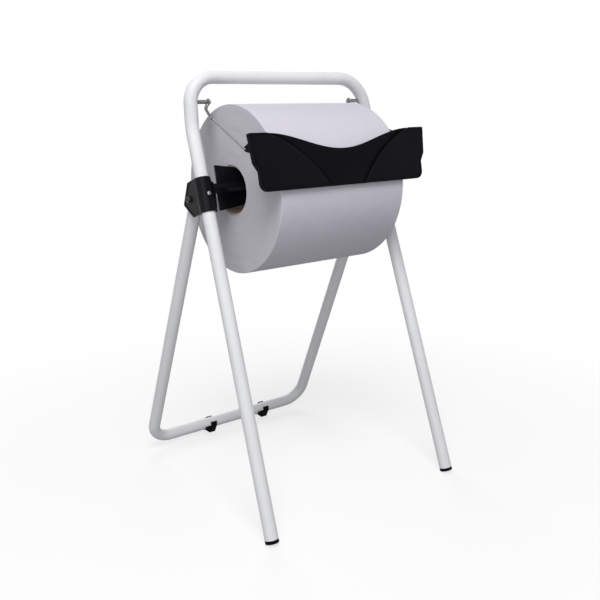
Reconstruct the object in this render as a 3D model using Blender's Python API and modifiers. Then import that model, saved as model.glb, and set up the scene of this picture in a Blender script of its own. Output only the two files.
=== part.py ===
"""Industrial paper roll stand: a folding tubular stand that carries one wide paper roll.

Metres, +Z up. The front of the stand faces -Y and the right side is +X. The origin lies on
the floor, in the middle of the stand's outline. Places seen from the side are first written
as a height over the floor and a distance back from the line through the front feet.
"""
import math

import bmesh
import bpy
from mathutils import Matrix, Vector

# Tubes of both frames; the roll's length sets their width
TUBE_OD = 0.022
TUBE_WALL = 0.0015
FRAME_HEIGHT = 0.7071
SIDE_ROOM = 0.0567
HANDLE_BEND_LEFT = 0.042
HANDLE_BEND_RIGHT = 0.062
HANDLE_LEAN = 0.0025
NECK_BELOW = 0.0785
NECK_BACK = 0.2143
NECK_BEND = 0.075
FOOT_SPLAY = 0.0141
REAR_INSET = 0.0024
REAR_BACK = 0.434
REAR_BEND = 0.040
REAR_TAIL = 0.012

# General clearances
GAP = 0.0003
OVERRUN = 0.004
WELD = 0.000001

# Feet
CAP_LIP = 0.0002
CAP_HEIGHT = 0.0055
CAP_HEEL = 0.0070
CAP_SPIGOT = 0.018
CAP_EDGE = 0.0008
CLIP_HEIGHT = 0.0093
CLIP_WALL = 0.0022
CLIP_LENGTH = 0.013
CLIP_SOLE = 0.008
CLIP_WING = 0.013
CLIP_FIN = 0.006
CLIP_LEFT = 0.047
CLIP_RIGHT = 0.085
CLIP_FRONT_LIP = math.radians(25)
CLIP_REAR_LIP = math.radians(130)

# Hinge bracket, placed along the front leg and behind its centre line
BRACKET_BELOW = 0.1091
BRACKET_HEIGHT = 0.056
BRACKET_REAR = 0.0505
BRACKET_TOP_REAR = 0.026
BRACKET_LOW_REAR = 0.029
BRACKET_CORNER = 0.005
BRACKET_TIP_HALF = 0.0015
BRACKET_TIP_BELOW = 0.0025
WRAP_WALL = 0.0018
CHEEK = 0.0026
RIM_WIDTH = 0.0026
RIM_HEIGHT = 0.001
SADDLE = 0.0033
PIVOT_ABOVE = 0.002
PIVOT_BEHIND = 0.032
MOULD_EDGE = 0.0007

# Core holder: flange, hub and four tapered ribs
HOLDER_ABOVE = 0.0112
HOLDER_BEHIND = 0.0090
HOLDER_FLANGE = 0.003
FLANGE_HUB_RADIUS = 0.0125
FLANGE_EAR_RADIUS = 0.0078
HUB_RADIUS = 0.00825
HUB_BORE = 0.0055
RIB_THICKNESS = 0.0036
RIB_STANDOFF = 0.0135
RIB_LENGTH = 0.0582
RIB_PLAY = 0.0011
RIB_TAPER = 0.0085
RIB_RAKE = 0.0037
RIB_LEAD = 0.007

# Fasteners
PIVOT_RADIUS = 0.003
PIVOT_HEAD_RADIUS = 0.00525
PIVOT_HEAD = 0.0032
PIVOT_SOCKET = 0.002
WASHER_RADIUS = 0.006
WASHER = 0.001
NUT_RADIUS = 0.00577
NUT = 0.005
PIVOT_END = 0.0012
SCREW_RADIUS = 0.00175
SCREW_HEAD_RADIUS = 0.0033
SCREW_HEAD = 0.0022
LEG_SCREW_LENGTH = 0.0065
HOLDER_SCREW_LENGTH = 0.0085
HOLDER_SCREW_BEHIND = 0.0103
HOLDER_SCREW_BELOW = 0.016
INSERT_HEAD = 0.0012
INSERT_LENGTH = 0.030

# Paper roll and its core
ROLL_RADIUS = 0.137
ROLL_LENGTH = 0.254
CORE_BORE = 0.0381
CORE_WALL = 0.0025
CORE_INSET = 0.002

# Hanger pins and wire arms
PIN_DROP = 0.0386
PIN_RADIUS = 0.0033
PIN_GROOVE_RADIUS = 0.0026
PIN_STUD_RADIUS = 0.0022
PIN_STUD = 0.0045
PIN_HEAD = 0.0022
PIN_LENGTH = 0.0255
WIRE_RADIUS = 0.0013
EYE_START = math.radians(185)
EYE_END = math.radians(-75)
KINK_BACK = 0.0070
KINK_DROP = 0.0105
KINK_BEND = 0.003
BEND_FRONT = 0.0105
BEND_DROP = 0.0265
BEND_RADIUS = 0.008
WIRE_END_BEND = 0.0026
WIRE_END = 0.006

# Tear-off plate, in its own plane: across is X, up runs along the plate
PLATE_TILT = math.radians(10.2)
PLATE_CONTACT = 0.0235
PLATE_THICKNESS = 0.006
PLATE_SKIN = 0.0025
PLATE_SIDE_ROOM = 0.0052
PLATE_TOP = 0.0475
PLATE_DIP = 0.0197
PLATE_WAVE_INSET = 0.0315
PLATE_STEP_INSET = 0.0037
PLATE_STEP_TOP = 0.004
PLATE_LOW_INSET = 0.0117
PLATE_STEP_LOW = -0.009
PLATE_BOTTOM = -0.0385
PLATE_LOW_CORNER = 0.013
PLATE_STEP_CORNER = 0.006
PLATE_TOP_CORNER = 0.0025
PLATE_RIM = 0.0032
PLATE_GROOVE = 0.0012
PLATE_GROOVE_DEPTH = 0.0004
SCOOP_LOW = 0.0008
SCOOP_TOP = 0.0034
PANEL_REACH = 0.143
PANEL_RADIUS = 0.225
PANEL_START_ANGLE = math.radians(56)
PANEL_END_ANGLE = math.radians(10)
LUG_INSET = 0.0041
LUG_THICKNESS = 0.003
LUG_UP = 0.027
LUG_REACH = 0.010
LUG_RADIUS = 0.0042
LUG_ROOT = 0.0075
LUG_ROOT_RADIUS = 0.0015

# Facets
SMALL_ROUND_STEPS = 12
ROUND_STEPS = 24
LEG_ROUND_STEPS = 28
CORE_ROUND_STEPS = 56
ROLL_ROUND_STEPS = 88
ARC_STEP = math.radians(13)
PLATE_ARC_STEP = math.radians(23)
TUBE_RESOLUTION = 7
BORE_RESOLUTION = 6
WIRE_RESOLUTION = 2
WAVE_STEPS = 16
PANEL_STEPS = 10

# Values that follow from the sizes above
TUBE_RADIUS = TUBE_OD / 2
BORE_RADIUS = TUBE_RADIUS - TUBE_WALL
NECK_HEIGHT = FRAME_HEIGHT - NECK_BELOW
HANDLE_BACK = NECK_BACK + HANDLE_LEAN
LEAN = math.atan2(NECK_BACK, NECK_HEIGHT)
LEG_RUN = math.hypot(NECK_BACK, NECK_HEIGHT)
BRACKET_ALONG = LEG_RUN - BRACKET_BELOW
PIVOT_ALONG = BRACKET_ALONG + PIVOT_ABOVE
HOLDER_ALONG = BRACKET_ALONG + HOLDER_ABOVE
HANDLE_HALF = ROLL_LENGTH / 2 + SIDE_ROOM
FOOT_HALF = HANDLE_HALF + FOOT_SPLAY
REAR_HALF = HANDLE_HALF + FOOT_SPLAY * (1 - PIVOT_ALONG / LEG_RUN) - REAR_INSET
CAP_RADIUS = TUBE_RADIUS + CAP_LIP
CAP_END = (CAP_RADIUS - CAP_HEEL) * math.tan(LEAN)
LEG_END = CAP_END + CAP_HEIGHT + GAP
CROSSBAR_HEIGHT = CLIP_HEIGHT + TUBE_RADIUS + GAP
REAR_REACH = REAR_BACK + TUBE_RADIUS + GAP + CLIP_WALL
FRONT_REACH = CAP_RADIUS * math.cos(LEAN) - (CAP_END + CAP_EDGE) * math.sin(LEAN)
MIDDLE_BACK = (REAR_REACH - FRONT_REACH) / 2
WRAP_RADIUS = TUBE_RADIUS + GAP + WRAP_WALL
POCKET_HALF = TUBE_RADIUS + GAP
CHEEK_FACE = REAR_HALF + POCKET_HALF + CHEEK
INNER_FACE = REAR_HALF - POCKET_HALF - CHEEK
POCKET_FRONT = TUBE_RADIUS + GAP + SADDLE
RIB_OUTER_X = INNER_FACE - RIB_STANDOFF
RIB_INNER_X = RIB_OUTER_X - RIB_LENGTH
RIB_OUTER_RADIUS = CORE_BORE - RIB_PLAY
RIB_INNER_RADIUS = RIB_OUTER_RADIUS - RIB_TAPER
PIN_HEIGHT = FRAME_HEIGHT - PIN_DROP
PLATE_TOP_HALF = HANDLE_HALF - PLATE_SIDE_ROOM
PLATE_WAVE_HALF = PLATE_TOP_HALF - PLATE_WAVE_INSET
PLATE_STEP_HALF = PLATE_TOP_HALF - PLATE_STEP_INSET
PLATE_LOW_HALF = PLATE_TOP_HALF - PLATE_LOW_INSET
PANEL_START = PLATE_TOP_HALF - PANEL_REACH
LUG_X = PLATE_TOP_HALF - LUG_INSET

collection = bpy.data.collections.new("paper_roll_stand")
cutters = bpy.data.collections.new("paper_roll_stand_cutters")


def clear_scene():
    for item in list(bpy.data.objects):
        bpy.data.objects.remove(item, do_unlink=True)
    bpy.context.scene.collection.children.link(collection)
    bpy.context.scene.collection.children.link(cutters)


def material(name, colour, roughness, metallic=0.0):
    made = bpy.data.materials.new(name)
    made.use_nodes = True
    shader = made.node_tree.nodes["Principled BSDF"]
    shader.inputs["Base Color"].default_value = (*colour, 1.0)
    shader.inputs["Roughness"].default_value = roughness
    shader.inputs["Metallic"].default_value = metallic
    return made


# Places on the stand

def floor_point(x, back, height):
    """A point given by its distance back from the front feet and its height."""
    return Vector((x, back - MIDDLE_BACK, height))


def beside_leg(x, along, behind):
    """A point given in the front leg's own directions, as seen from the side."""
    back = along * math.sin(LEAN) + behind * math.cos(LEAN)
    height = along * math.cos(LEAN) - behind * math.sin(LEAN)
    return floor_point(x, back, height)


def leg_x(along):
    """Distance of the front leg's centre line from the middle plane."""
    return FOOT_HALF + (HANDLE_HALF - FOOT_HALF) * along / LEG_RUN


def leg_direction(side):
    foot = floor_point(side * FOOT_HALF, 0, 0)
    neck = floor_point(side * HANDLE_HALF, NECK_BACK, NECK_HEIGHT)
    return (neck - foot).normalized()


def plane_frame(origin, across, up):
    """A matrix whose local X runs across, local Y runs up and local Z is square to both."""
    across = across.normalized()
    normal = across.cross(up).normalized()
    up = normal.cross(across)
    return Matrix.Translation(origin) @ Matrix((across, up, normal)).transposed().to_4x4()


def axis_frame(origin, direction):
    """A matrix whose local Z runs along the direction."""
    return Matrix.Translation(origin) @ direction.to_track_quat("Z", "Y").to_matrix().to_4x4()


def side_frame(x, along, behind):
    """Local X points behind the leg, local Y up along it and local Z along world X."""
    across = Vector((0, math.cos(LEAN), -math.sin(LEAN)))
    up = Vector((0, math.sin(LEAN), math.cos(LEAN)))
    return plane_frame(beside_leg(x, along, behind), across, up)


# Outlines and paths

def arc_points(centre, radius, start, end, step=ARC_STEP):
    count = max(2, math.ceil(abs(end - start) / step))
    angles = [start + (end - start) * i / count for i in range(count + 1)]
    return [(centre[0] + radius * math.cos(a), centre[1] + radius * math.sin(a)) for a in angles]


def rounded_path(corners, radii, closed=False, step=ARC_STEP):
    """Straight runs between corners, with a tangent arc of the given radius at each corner."""
    points = []
    count = len(corners)
    for i, corner in enumerate(corners):
        corner = Vector(corner)
        radius = radii[i]
        end_point = not closed and i in (0, count - 1)
        if end_point or radius == 0:
            points.append(corner)
            continue
        back = (Vector(corners[i - 1]) - corner).normalized()
        ahead = (Vector(corners[(i + 1) % count]) - corner).normalized()
        half = back.angle(ahead) / 2
        turn = math.pi - 2 * half
        bisector = (back + ahead).normalized()
        centre = corner + bisector * (radius / math.sin(half))
        first = corner + back * (radius / math.tan(half)) - centre
        steps = max(1, math.ceil(turn / step))
        for k in range(steps + 1):
            angle = turn * k / steps
            points.append(centre + first * math.cos(angle) - back * (radius * math.sin(angle)))
    return points


def hull_outline(circles, steps=20):
    """The outline of a band stretched round some circles, each given as across, up, radius."""
    cloud = set()
    for across, up, radius in circles:
        for i in range(steps):
            angle = 2 * math.pi * i / steps
            cloud.add((across + radius * math.cos(angle), up + radius * math.sin(angle)))
    cloud = sorted(cloud)

    def chain(points):
        line = []
        for point in points:
            while len(line) > 1 and turn_of(line[-2], line[-1], point) <= 0:
                line.pop()
            line.append(point)
        return line[:-1]

    def turn_of(a, b, c):
        return (b[0] - a[0]) * (c[1] - a[1]) - (b[1] - a[1]) * (c[0] - a[0])

    return chain(cloud) + chain(reversed(cloud))


def inset(outline, distance):
    """The same closed outline, moved inwards by a distance at every point."""
    points = [Vector(p) for p in outline]
    count = len(points)
    area = sum(points[i - 1].cross(points[i]) for i in range(count))
    inward = distance if area > 0 else -distance
    moved = []
    for i, point in enumerate(points):
        before = (point - points[i - 1]).normalized()
        after = (points[(i + 1) % count] - point).normalized()
        normal_before = Vector((-before.y, before.x))
        normal_after = Vector((-after.y, after.x))
        mitre = (normal_before + normal_after).normalized()
        moved.append(point + mitre * (inward / max(mitre.dot(normal_before), 0.5)))
    return [tuple(p) for p in moved]


# Basic solids

def new_object(name, mesh, frame=None):
    item = bpy.data.objects.new(name, mesh)
    if frame is not None:
        item.matrix_world = frame
    collection.objects.link(item)
    return item


def curve_to_mesh(curve, name, frame):
    """A curve made a mesh with its caps welded on."""
    source = new_object(name + "_curve", curve, frame)
    bpy.context.view_layer.update()
    evaluated = source.evaluated_get(bpy.context.evaluated_depsgraph_get())
    mesh = bpy.data.meshes.new_from_object(evaluated)
    mesh.name = name
    item = new_object(name, mesh)
    item.matrix_world = source.matrix_world
    bpy.data.objects.remove(source, do_unlink=True)
    shape = bmesh.new()
    shape.from_mesh(mesh)
    bmesh.ops.remove_doubles(shape, verts=shape.verts, dist=WELD)
    bmesh.ops.recalc_face_normals(shape, faces=shape.faces)
    shape.to_mesh(mesh)
    shape.free()
    return item


def slab(name, outline, thickness, frame, holes=()):
    """A flat outline, given half its thickness to each side of the frame's plane."""
    curve = bpy.data.curves.new(name, "CURVE")
    curve.dimensions = "2D"
    curve.fill_mode = "BOTH"
    curve.extrude = thickness / 2
    for loop in (outline, *holes):
        spline = curve.splines.new("POLY")
        spline.points.add(len(loop) - 1)
        for point, place in zip(spline.points, loop):
            point.co = (place[0], place[1], 0, 1)
        spline.use_cyclic_u = True
    return curve_to_mesh(curve, name, frame)


def swept_tube(name, path, radius, resolution):
    """A round bar along a path, with its ends capped."""
    curve = bpy.data.curves.new(name, "CURVE")
    curve.dimensions = "3D"
    curve.bevel_depth = radius
    curve.bevel_resolution = resolution
    curve.use_fill_caps = True
    spline = curve.splines.new("POLY")
    spline.points.add(len(path) - 1)
    for point, place in zip(spline.points, path):
        point.co = (*place, 1)
    return curve_to_mesh(curve, name, Matrix.Identity(4))


def rod(name, radius, start, end, steps=SMALL_ROUND_STEPS):
    """A cylinder from one point to another."""
    shape = bmesh.new()
    length = (end - start).length
    bmesh.ops.create_cone(shape, cap_ends=True, segments=steps, radius1=radius,
                          radius2=radius, depth=length)
    mesh = bpy.data.meshes.new(name)
    shape.to_mesh(mesh)
    shape.free()
    return new_object(name, mesh, axis_frame((start + end) / 2, end - start))


def box(name, low, high):
    shape = bmesh.new()
    bmesh.ops.create_cube(shape, size=1)
    bmesh.ops.scale(shape, vec=high - low, verts=shape.verts)
    mesh = bpy.data.meshes.new(name)
    shape.to_mesh(mesh)
    shape.free()
    return new_object(name, mesh, Matrix.Translation((low + high) / 2))


def turned(name, profile, frame, steps=SMALL_ROUND_STEPS, closed=False):
    """A profile of radius and height, from top to bottom, turned about the frame's local Z."""
    mesh = bpy.data.meshes.new(name)
    verts = [(radius, 0, height) for radius, height in profile]
    edges = [(i, i + 1) for i in range(len(verts) - 1)]
    if closed:
        edges.append((len(verts) - 1, 0))
    mesh.from_pydata(verts, edges, [])
    item = new_object(name, mesh, frame)
    screw = item.modifiers.new("turn", "SCREW")
    screw.axis = "Z"
    screw.steps = steps
    screw.render_steps = steps
    screw.use_merge_vertices = True
    screw.merge_threshold = 0.0001
    return item


def soften(item, width, segments=1):
    """Round the sharp edges that the item has so far."""
    bevel = item.modifiers.new("soften", "BEVEL")
    bevel.width = width
    bevel.segments = segments
    bevel.limit_method = "ANGLE"
    bevel.angle_limit = math.radians(40)
    return item


def combine(item, tool, operation):
    step = item.modifiers.new(operation.lower() + "_" + tool.name, "BOOLEAN")
    step.operation = operation
    step.solver = "EXACT"
    step.object = tool
    if tool.name not in cutters.objects:
        collection.objects.unlink(tool)
        cutters.objects.link(tool)
    tool.display_type = "WIRE"
    tool.hide_render = True
    return item


def cut(item, *tools):
    for tool in tools:
        combine(item, tool, "DIFFERENCE")
    return item


def join(item, *tools):
    for tool in tools:
        combine(item, tool, "UNION")
    return item


def finish(item, finish_material, smooth_angle=math.radians(35)):
    """Give a piece its material and smooth shading, with its modifiers applied to the mesh."""
    bpy.context.view_layer.update()
    evaluated = item.evaluated_get(bpy.context.evaluated_depsgraph_get())
    mesh = bpy.data.meshes.new_from_object(evaluated)
    mesh.name = item.name
    item.modifiers.clear()
    item.data = mesh
    mesh.materials.clear()
    mesh.materials.append(finish_material)
    mesh.shade_smooth()
    mesh.set_sharp_from_angle(angle=smooth_angle)
    return item


# Front frame

def front_path(extra_foot):
    """Centre line of the front tube; extra_foot lengthens it past its lower ends."""
    corners = []
    for side in (-1, 1):
        foot = floor_point(side * FOOT_HALF, 0, 0) + leg_direction(side) * (LEG_END - extra_foot)
        neck = floor_point(side * HANDLE_HALF, NECK_BACK, NECK_HEIGHT)
        handle = floor_point(side * HANDLE_HALF, HANDLE_BACK, FRAME_HEIGHT)
        corners.append([foot, neck, handle])
    line = corners[0] + corners[1][::-1]
    radii = (0, NECK_BEND, HANDLE_BEND_LEFT, HANDLE_BEND_RIGHT, NECK_BEND, 0)
    return rounded_path(line, radii)


def bend_side(side, offset):
    """How far out the handle's bend is at the pins' height, offset outwards from its centre line."""
    bend = HANDLE_BEND_LEFT if side < 0 else HANDLE_BEND_RIGHT
    above = PIN_HEIGHT - (FRAME_HEIGHT - bend)
    return HANDLE_HALF - bend + math.sqrt((bend + offset) ** 2 - above ** 2)


def leg_screw_frame(side):
    """On the bracket's front face, with local Z pointing forward out of the leg."""
    forward = Vector((0, -math.cos(LEAN), math.sin(LEAN)))
    origin = beside_leg(side * leg_x(BRACKET_ALONG), BRACKET_ALONG, -WRAP_RADIUS)
    return axis_frame(origin, forward)


def front_frame(paint):
    frame = swept_tube("front_frame_tube", front_path(0), TUBE_RADIUS, TUBE_RESOLUTION)
    cut(frame, swept_tube("front_tube_bore", front_path(OVERRUN), BORE_RADIUS, BORE_RESOLUTION))
    for side in (-1, 1):
        place = floor_point(side * bend_side(side, 0), HANDLE_BACK, PIN_HEIGHT)
        inward = Vector((-side, 0, 0))
        cut(frame, rod("pin_hole", PIN_STUD_RADIUS + GAP, place, place + inward * TUBE_OD))
        screw = leg_screw_frame(side)
        outer = screw @ Vector((0, 0, OVERRUN))
        inner = screw @ Vector((0, 0, -WRAP_RADIUS))
        cut(frame, rod("leg_screw_hole", SCREW_RADIUS + GAP, outer, inner))
    return finish(frame, paint)


def front_cap(side, name, black):
    """Plug in the leg's end, square to the leg, with a level heel that stands on the floor."""
    direction = leg_direction(side)
    origin = floor_point(side * FOOT_HALF, 0, 0)
    top = CAP_END + CAP_HEIGHT
    spigot = BORE_RADIUS - GAP
    profile = [(0, top + CAP_SPIGOT),
               (spigot - CAP_EDGE, top + CAP_SPIGOT),
               (spigot, top + CAP_SPIGOT - CAP_EDGE),
               (spigot, top),
               (CAP_RADIUS - CAP_EDGE, top),
               (CAP_RADIUS, top - CAP_EDGE),
               (CAP_RADIUS, CAP_END + CAP_EDGE),
               (CAP_RADIUS - CAP_EDGE, CAP_END),
               (0, CAP_END)]
    cap = turned(name, profile, axis_frame(origin, direction), ROUND_STEPS)
    reach = Vector((CAP_RADIUS * 3, CAP_RADIUS * 3, 0))
    ground = box(name + "_ground", origin - reach - Vector((0, 0, CAP_RADIUS * 3)), origin + reach)
    return finish(cut(cap, ground), black)


# Rear frame

def rear_direction():
    """Up along the rear leg, as seen from the side."""
    pivot = beside_leg(0, PIVOT_ALONG, PIVOT_BEHIND)
    crossbar = floor_point(0, REAR_BACK, CROSSBAR_HEIGHT)
    return (pivot - crossbar).normalized()


def rear_path(extra_top):
    ends = []
    for side in (-1, 1):
        pivot = beside_leg(side * REAR_HALF, PIVOT_ALONG, PIVOT_BEHIND)
        top = pivot + rear_direction() * (REAR_TAIL + extra_top)
        ends.append([top, floor_point(side * REAR_HALF, REAR_BACK, CROSSBAR_HEIGHT)])
    return rounded_path(ends[0] + ends[1][::-1], (0, REAR_BEND, REAR_BEND, 0))


def rear_frame(paint):
    frame = swept_tube("rear_frame_tube", rear_path(0), TUBE_RADIUS, TUBE_RESOLUTION)
    cut(frame, swept_tube("rear_tube_bore", rear_path(OVERRUN), BORE_RADIUS, BORE_RESOLUTION))
    for side in (-1, 1):
        pivot = beside_leg(side * REAR_HALF, PIVOT_ALONG, PIVOT_BEHIND)
        reach = Vector((TUBE_RADIUS + OVERRUN, 0, 0))
        cut(frame, rod("rear_tube_pivot_hole", PIVOT_RADIUS + GAP, pivot - reach, pivot + reach))
    return finish(frame, paint)


def pivot_insert(side, name, black):
    """Moulded plug in the rear tube's top end, bored across for the pivot bolt."""
    pivot = beside_leg(side * REAR_HALF, PIVOT_ALONG, PIVOT_BEHIND)
    seat = REAR_TAIL + GAP
    body = BORE_RADIUS - GAP
    profile = [(0, seat + INSERT_HEAD),
               (TUBE_RADIUS - INSERT_HEAD, seat + INSERT_HEAD),
               (TUBE_RADIUS, seat),
               (body, seat),
               (body, seat - INSERT_LENGTH),
               (0, seat - INSERT_LENGTH)]
    insert = turned(name, profile, axis_frame(pivot, rear_direction()), ROUND_STEPS)
    reach = Vector((TUBE_RADIUS, 0, 0))
    bore = rod(name + "_bore", PIVOT_RADIUS + GAP, pivot - reach, pivot + reach)
    return finish(cut(insert, bore), black)


def clip_foot(x, name, black):
    """Clip pressed on the crossbar from behind, with a sole below, a tapered wing and its fin."""
    inner = TUBE_RADIUS + GAP
    outer = inner + CLIP_WALL
    place = floor_point(x, REAR_BACK, CROSSBAR_HEIGHT)
    frame = plane_frame(place, Vector((0, -1, 0)), Vector((0, 0, 1)))
    sweep_end = CLIP_REAR_LIP - 2 * math.pi
    ring = arc_points((0, 0), outer, CLIP_FRONT_LIP, sweep_end, 2 * ARC_STEP)
    ring += arc_points((0, 0), inner - GAP, sweep_end, CLIP_FRONT_LIP, 2 * ARC_STEP)
    clip = slab(name, ring, CLIP_LENGTH, frame)
    half_sole = CLIP_SOLE / 2
    sole = [(-half_sole, -CROSSBAR_HEIGHT),
            (half_sole, -CROSSBAR_HEIGHT),
            (outer * math.cos(CLIP_FRONT_LIP), -outer * math.sin(CLIP_FRONT_LIP)),
            (-outer * math.cos(CLIP_FRONT_LIP), -outer * math.sin(CLIP_FRONT_LIP))]
    join(clip, slab(name + "_sole", sole, CLIP_LENGTH - WELD, frame))
    reach = Vector((CLIP_LENGTH / 2, 0, 0))
    wing_end = place - reach - Vector((CLIP_WING, 0, 0))
    wing = taper(name + "_wing", outer, inner + CLIP_WALL / 4, place, wing_end)
    above = box(name + "_wing_top", place + Vector((-TUBE_OD - CLIP_WING, -TUBE_OD, -CLIP_WALL)),
                place + Vector((TUBE_OD, TUBE_OD, TUBE_OD)))
    join(clip, cut(wing, above))
    fin = [(0, -CROSSBAR_HEIGHT), (0, -inner), (-CLIP_LENGTH / 2 - CLIP_WING + CLIP_WALL, -inner),
           (-CLIP_LENGTH / 2, -CROSSBAR_HEIGHT)]
    join(clip, slab(name + "_fin", fin, CLIP_FIN,
                    plane_frame(place, Vector((1, 0, 0)), Vector((0, 0, 1)))))
    bore_reach = Vector((CLIP_LENGTH + CLIP_WING, 0, 0))
    cut(clip, rod(name + "_bore", inner, place - bore_reach, place + bore_reach, ROUND_STEPS))
    return finish(clip, black)


def taper(name, start_radius, end_radius, start, end):
    """A cone from one point to another, wider at the start."""
    shape = bmesh.new()
    bmesh.ops.create_cone(shape, cap_ends=True, segments=ROUND_STEPS, radius1=start_radius,
                          radius2=end_radius, depth=(end - start).length)
    mesh = bpy.data.meshes.new(name)
    shape.to_mesh(mesh)
    shape.free()
    return new_object(name, mesh, axis_frame((start + end) / 2, end - start))


# Hinge brackets

def bracket_outline(shrink=0):
    """The bracket's side outline, or the same outline moved inwards."""
    half = BRACKET_HEIGHT / 2
    corners = [(0, half), (0, -half), (BRACKET_LOW_REAR, -half),
               (BRACKET_REAR, -BRACKET_TIP_BELOW - BRACKET_TIP_HALF),
               (BRACKET_REAR, -BRACKET_TIP_BELOW + BRACKET_TIP_HALF), (BRACKET_TOP_REAR, half)]
    corner = max(BRACKET_CORNER - shrink, 0)
    radii = (0, 0, corner, 0, 0, corner)
    moved = inset(corners, shrink) if shrink else corners
    return [(p[0], p[1]) for p in rounded_path([(*q, 0) for q in moved], radii, closed=True)]


def holder_screw_place(side, x):
    return beside_leg(side * x, BRACKET_ALONG - HOLDER_SCREW_BELOW, HOLDER_SCREW_BEHIND)


def hinge_bracket(side, name, black):
    """Moulded clevis: it wraps the front leg and its two cheeks hold the rear leg's end."""
    outer_face = CHEEK_FACE + RIM_HEIGHT
    middle = side * (outer_face + INNER_FACE) / 2
    outline = bracket_outline()
    bracket = slab(name, outline, outer_face - INNER_FACE, side_frame(middle, BRACKET_ALONG, 0))
    soften(bracket, MOULD_EDGE)
    axis_point = beside_leg(side * leg_x(BRACKET_ALONG), BRACKET_ALONG, 0)
    direction = leg_direction(side)
    half = direction * (BRACKET_HEIGHT / 2)
    wrap = rod(name + "_wrap", WRAP_RADIUS, axis_point - half, axis_point + half, LEG_ROUND_STEPS)
    join(bracket, soften(wrap, MOULD_EDGE))
    pocket_outline = [(POCKET_FRONT, -BRACKET_HEIGHT), (BRACKET_REAR * 2, -BRACKET_HEIGHT),
                      (BRACKET_REAR * 2, BRACKET_HEIGHT), (POCKET_FRONT, BRACKET_HEIGHT)]
    pocket = slab(name + "_pocket", pocket_outline, 2 * POCKET_HALF,
                  side_frame(side * REAR_HALF, BRACKET_ALONG, 0))
    panel = [(max(a, WRAP_RADIUS), b) for a, b in bracket_outline(RIM_WIDTH)]
    recess = slab(name + "_recess", panel, 2 * RIM_HEIGHT,
                  side_frame(side * outer_face, BRACKET_ALONG, 0))
    bore = rod(name + "_leg_bore", TUBE_RADIUS + GAP, axis_point - half * 2, axis_point + half * 2,
               LEG_ROUND_STEPS)
    pivot = beside_leg(0, PIVOT_ALONG, PIVOT_BEHIND)
    pivot_hole = rod(name + "_pivot_hole", PIVOT_RADIUS + GAP,
                     pivot + Vector((side * (INNER_FACE - OVERRUN), 0, 0)),
                     pivot + Vector((side * (outer_face + OVERRUN), 0, 0)))
    screw = leg_screw_frame(side)
    screw_hole = rod(name + "_leg_screw_hole", SCREW_RADIUS + GAP,
                     screw @ Vector((0, 0, OVERRUN)), screw @ Vector((0, 0, -OVERRUN)))
    holder_hole = rod(name + "_holder_screw_hole", SCREW_RADIUS + GAP,
                      holder_screw_place(side, INNER_FACE - OVERRUN),
                      holder_screw_place(side, INNER_FACE + HOLDER_SCREW_LENGTH))
    cut(bracket, pocket, recess, bore, pivot_hole, screw_hole, holder_hole)
    return finish(bracket, black)


# Core holders

def rib_radius(x):
    """Radius of the ribs' common cone at a distance from the middle plane."""
    share = (x - RIB_INNER_X) / (RIB_OUTER_X - RIB_INNER_X)
    return RIB_INNER_RADIUS + (RIB_OUTER_RADIUS - RIB_INNER_RADIUS) * share


def rib_outline(side, rake):
    """A rib in the plane of the holder's axis: across is X, up is the radius."""
    root = HUB_BORE + (HUB_RADIUS - HUB_BORE) / 2
    outer = RIB_OUTER_X + rake
    points = [(RIB_OUTER_X, root), (outer, rib_radius(outer)),
              (RIB_INNER_X + RIB_LEAD, rib_radius(RIB_INNER_X + RIB_LEAD)),
              (RIB_INNER_X, rib_radius(RIB_INNER_X) - RIB_LEAD), (RIB_INNER_X, root)]
    return [(side * a, b) for a, b in points]


def core_holder(side, name, black):
    """Moulded holder: a flange on the bracket, a hub, and four ribs that enter the core."""
    centre = beside_leg(0, HOLDER_ALONG, HOLDER_BEHIND)
    circles = [(0, 0, FLANGE_HUB_RADIUS),
               (PIVOT_BEHIND - HOLDER_BEHIND, PIVOT_ALONG - HOLDER_ALONG, FLANGE_EAR_RADIUS),
               (HOLDER_SCREW_BEHIND - HOLDER_BEHIND,
                BRACKET_ALONG - HOLDER_SCREW_BELOW - HOLDER_ALONG, FLANGE_EAR_RADIUS)]
    flange_x = INNER_FACE - GAP - HOLDER_FLANGE / 2
    flange = slab(name, hull_outline(circles), HOLDER_FLANGE,
                  side_frame(side * flange_x, HOLDER_ALONG, HOLDER_BEHIND))
    soften(flange, MOULD_EDGE)
    outer = centre + Vector((side * flange_x, 0, 0))
    inner = centre + Vector((side * RIB_INNER_X, 0, 0))
    join(flange, rod(name + "_hub", HUB_RADIUS, outer, inner, ROUND_STEPS))
    for i, rake in enumerate((RIB_RAKE, 0, -RIB_RAKE, 0)):
        angle = math.pi / 2 * i
        up = Vector((0, math.sin(angle), math.cos(angle)))
        rib = slab(name + "_rib", rib_outline(side, rake), RIB_THICKNESS,
                   plane_frame(centre, Vector((1, 0, 0)), up))
        join(flange, rib)
    deep = centre + Vector((side * (RIB_OUTER_X + HOLDER_FLANGE), 0, 0))
    cut(flange, rod(name + "_hub_bore", HUB_BORE, inner - Vector((side * OVERRUN, 0, 0)), deep))
    pivot = beside_leg(0, PIVOT_ALONG, PIVOT_BEHIND)
    pivot_hole = rod(name + "_pivot_hole", PIVOT_RADIUS + GAP,
                     pivot + Vector((side * (INNER_FACE + OVERRUN), 0, 0)),
                     pivot + Vector((side * (flange_x - OVERRUN), 0, 0)))
    screw_hole = rod(name + "_screw_hole", SCREW_RADIUS + GAP,
                     holder_screw_place(side, INNER_FACE + OVERRUN),
                     holder_screw_place(side, flange_x - OVERRUN))
    cut(flange, pivot_hole, screw_hole)
    return finish(flange, black)


# Fasteners

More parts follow.
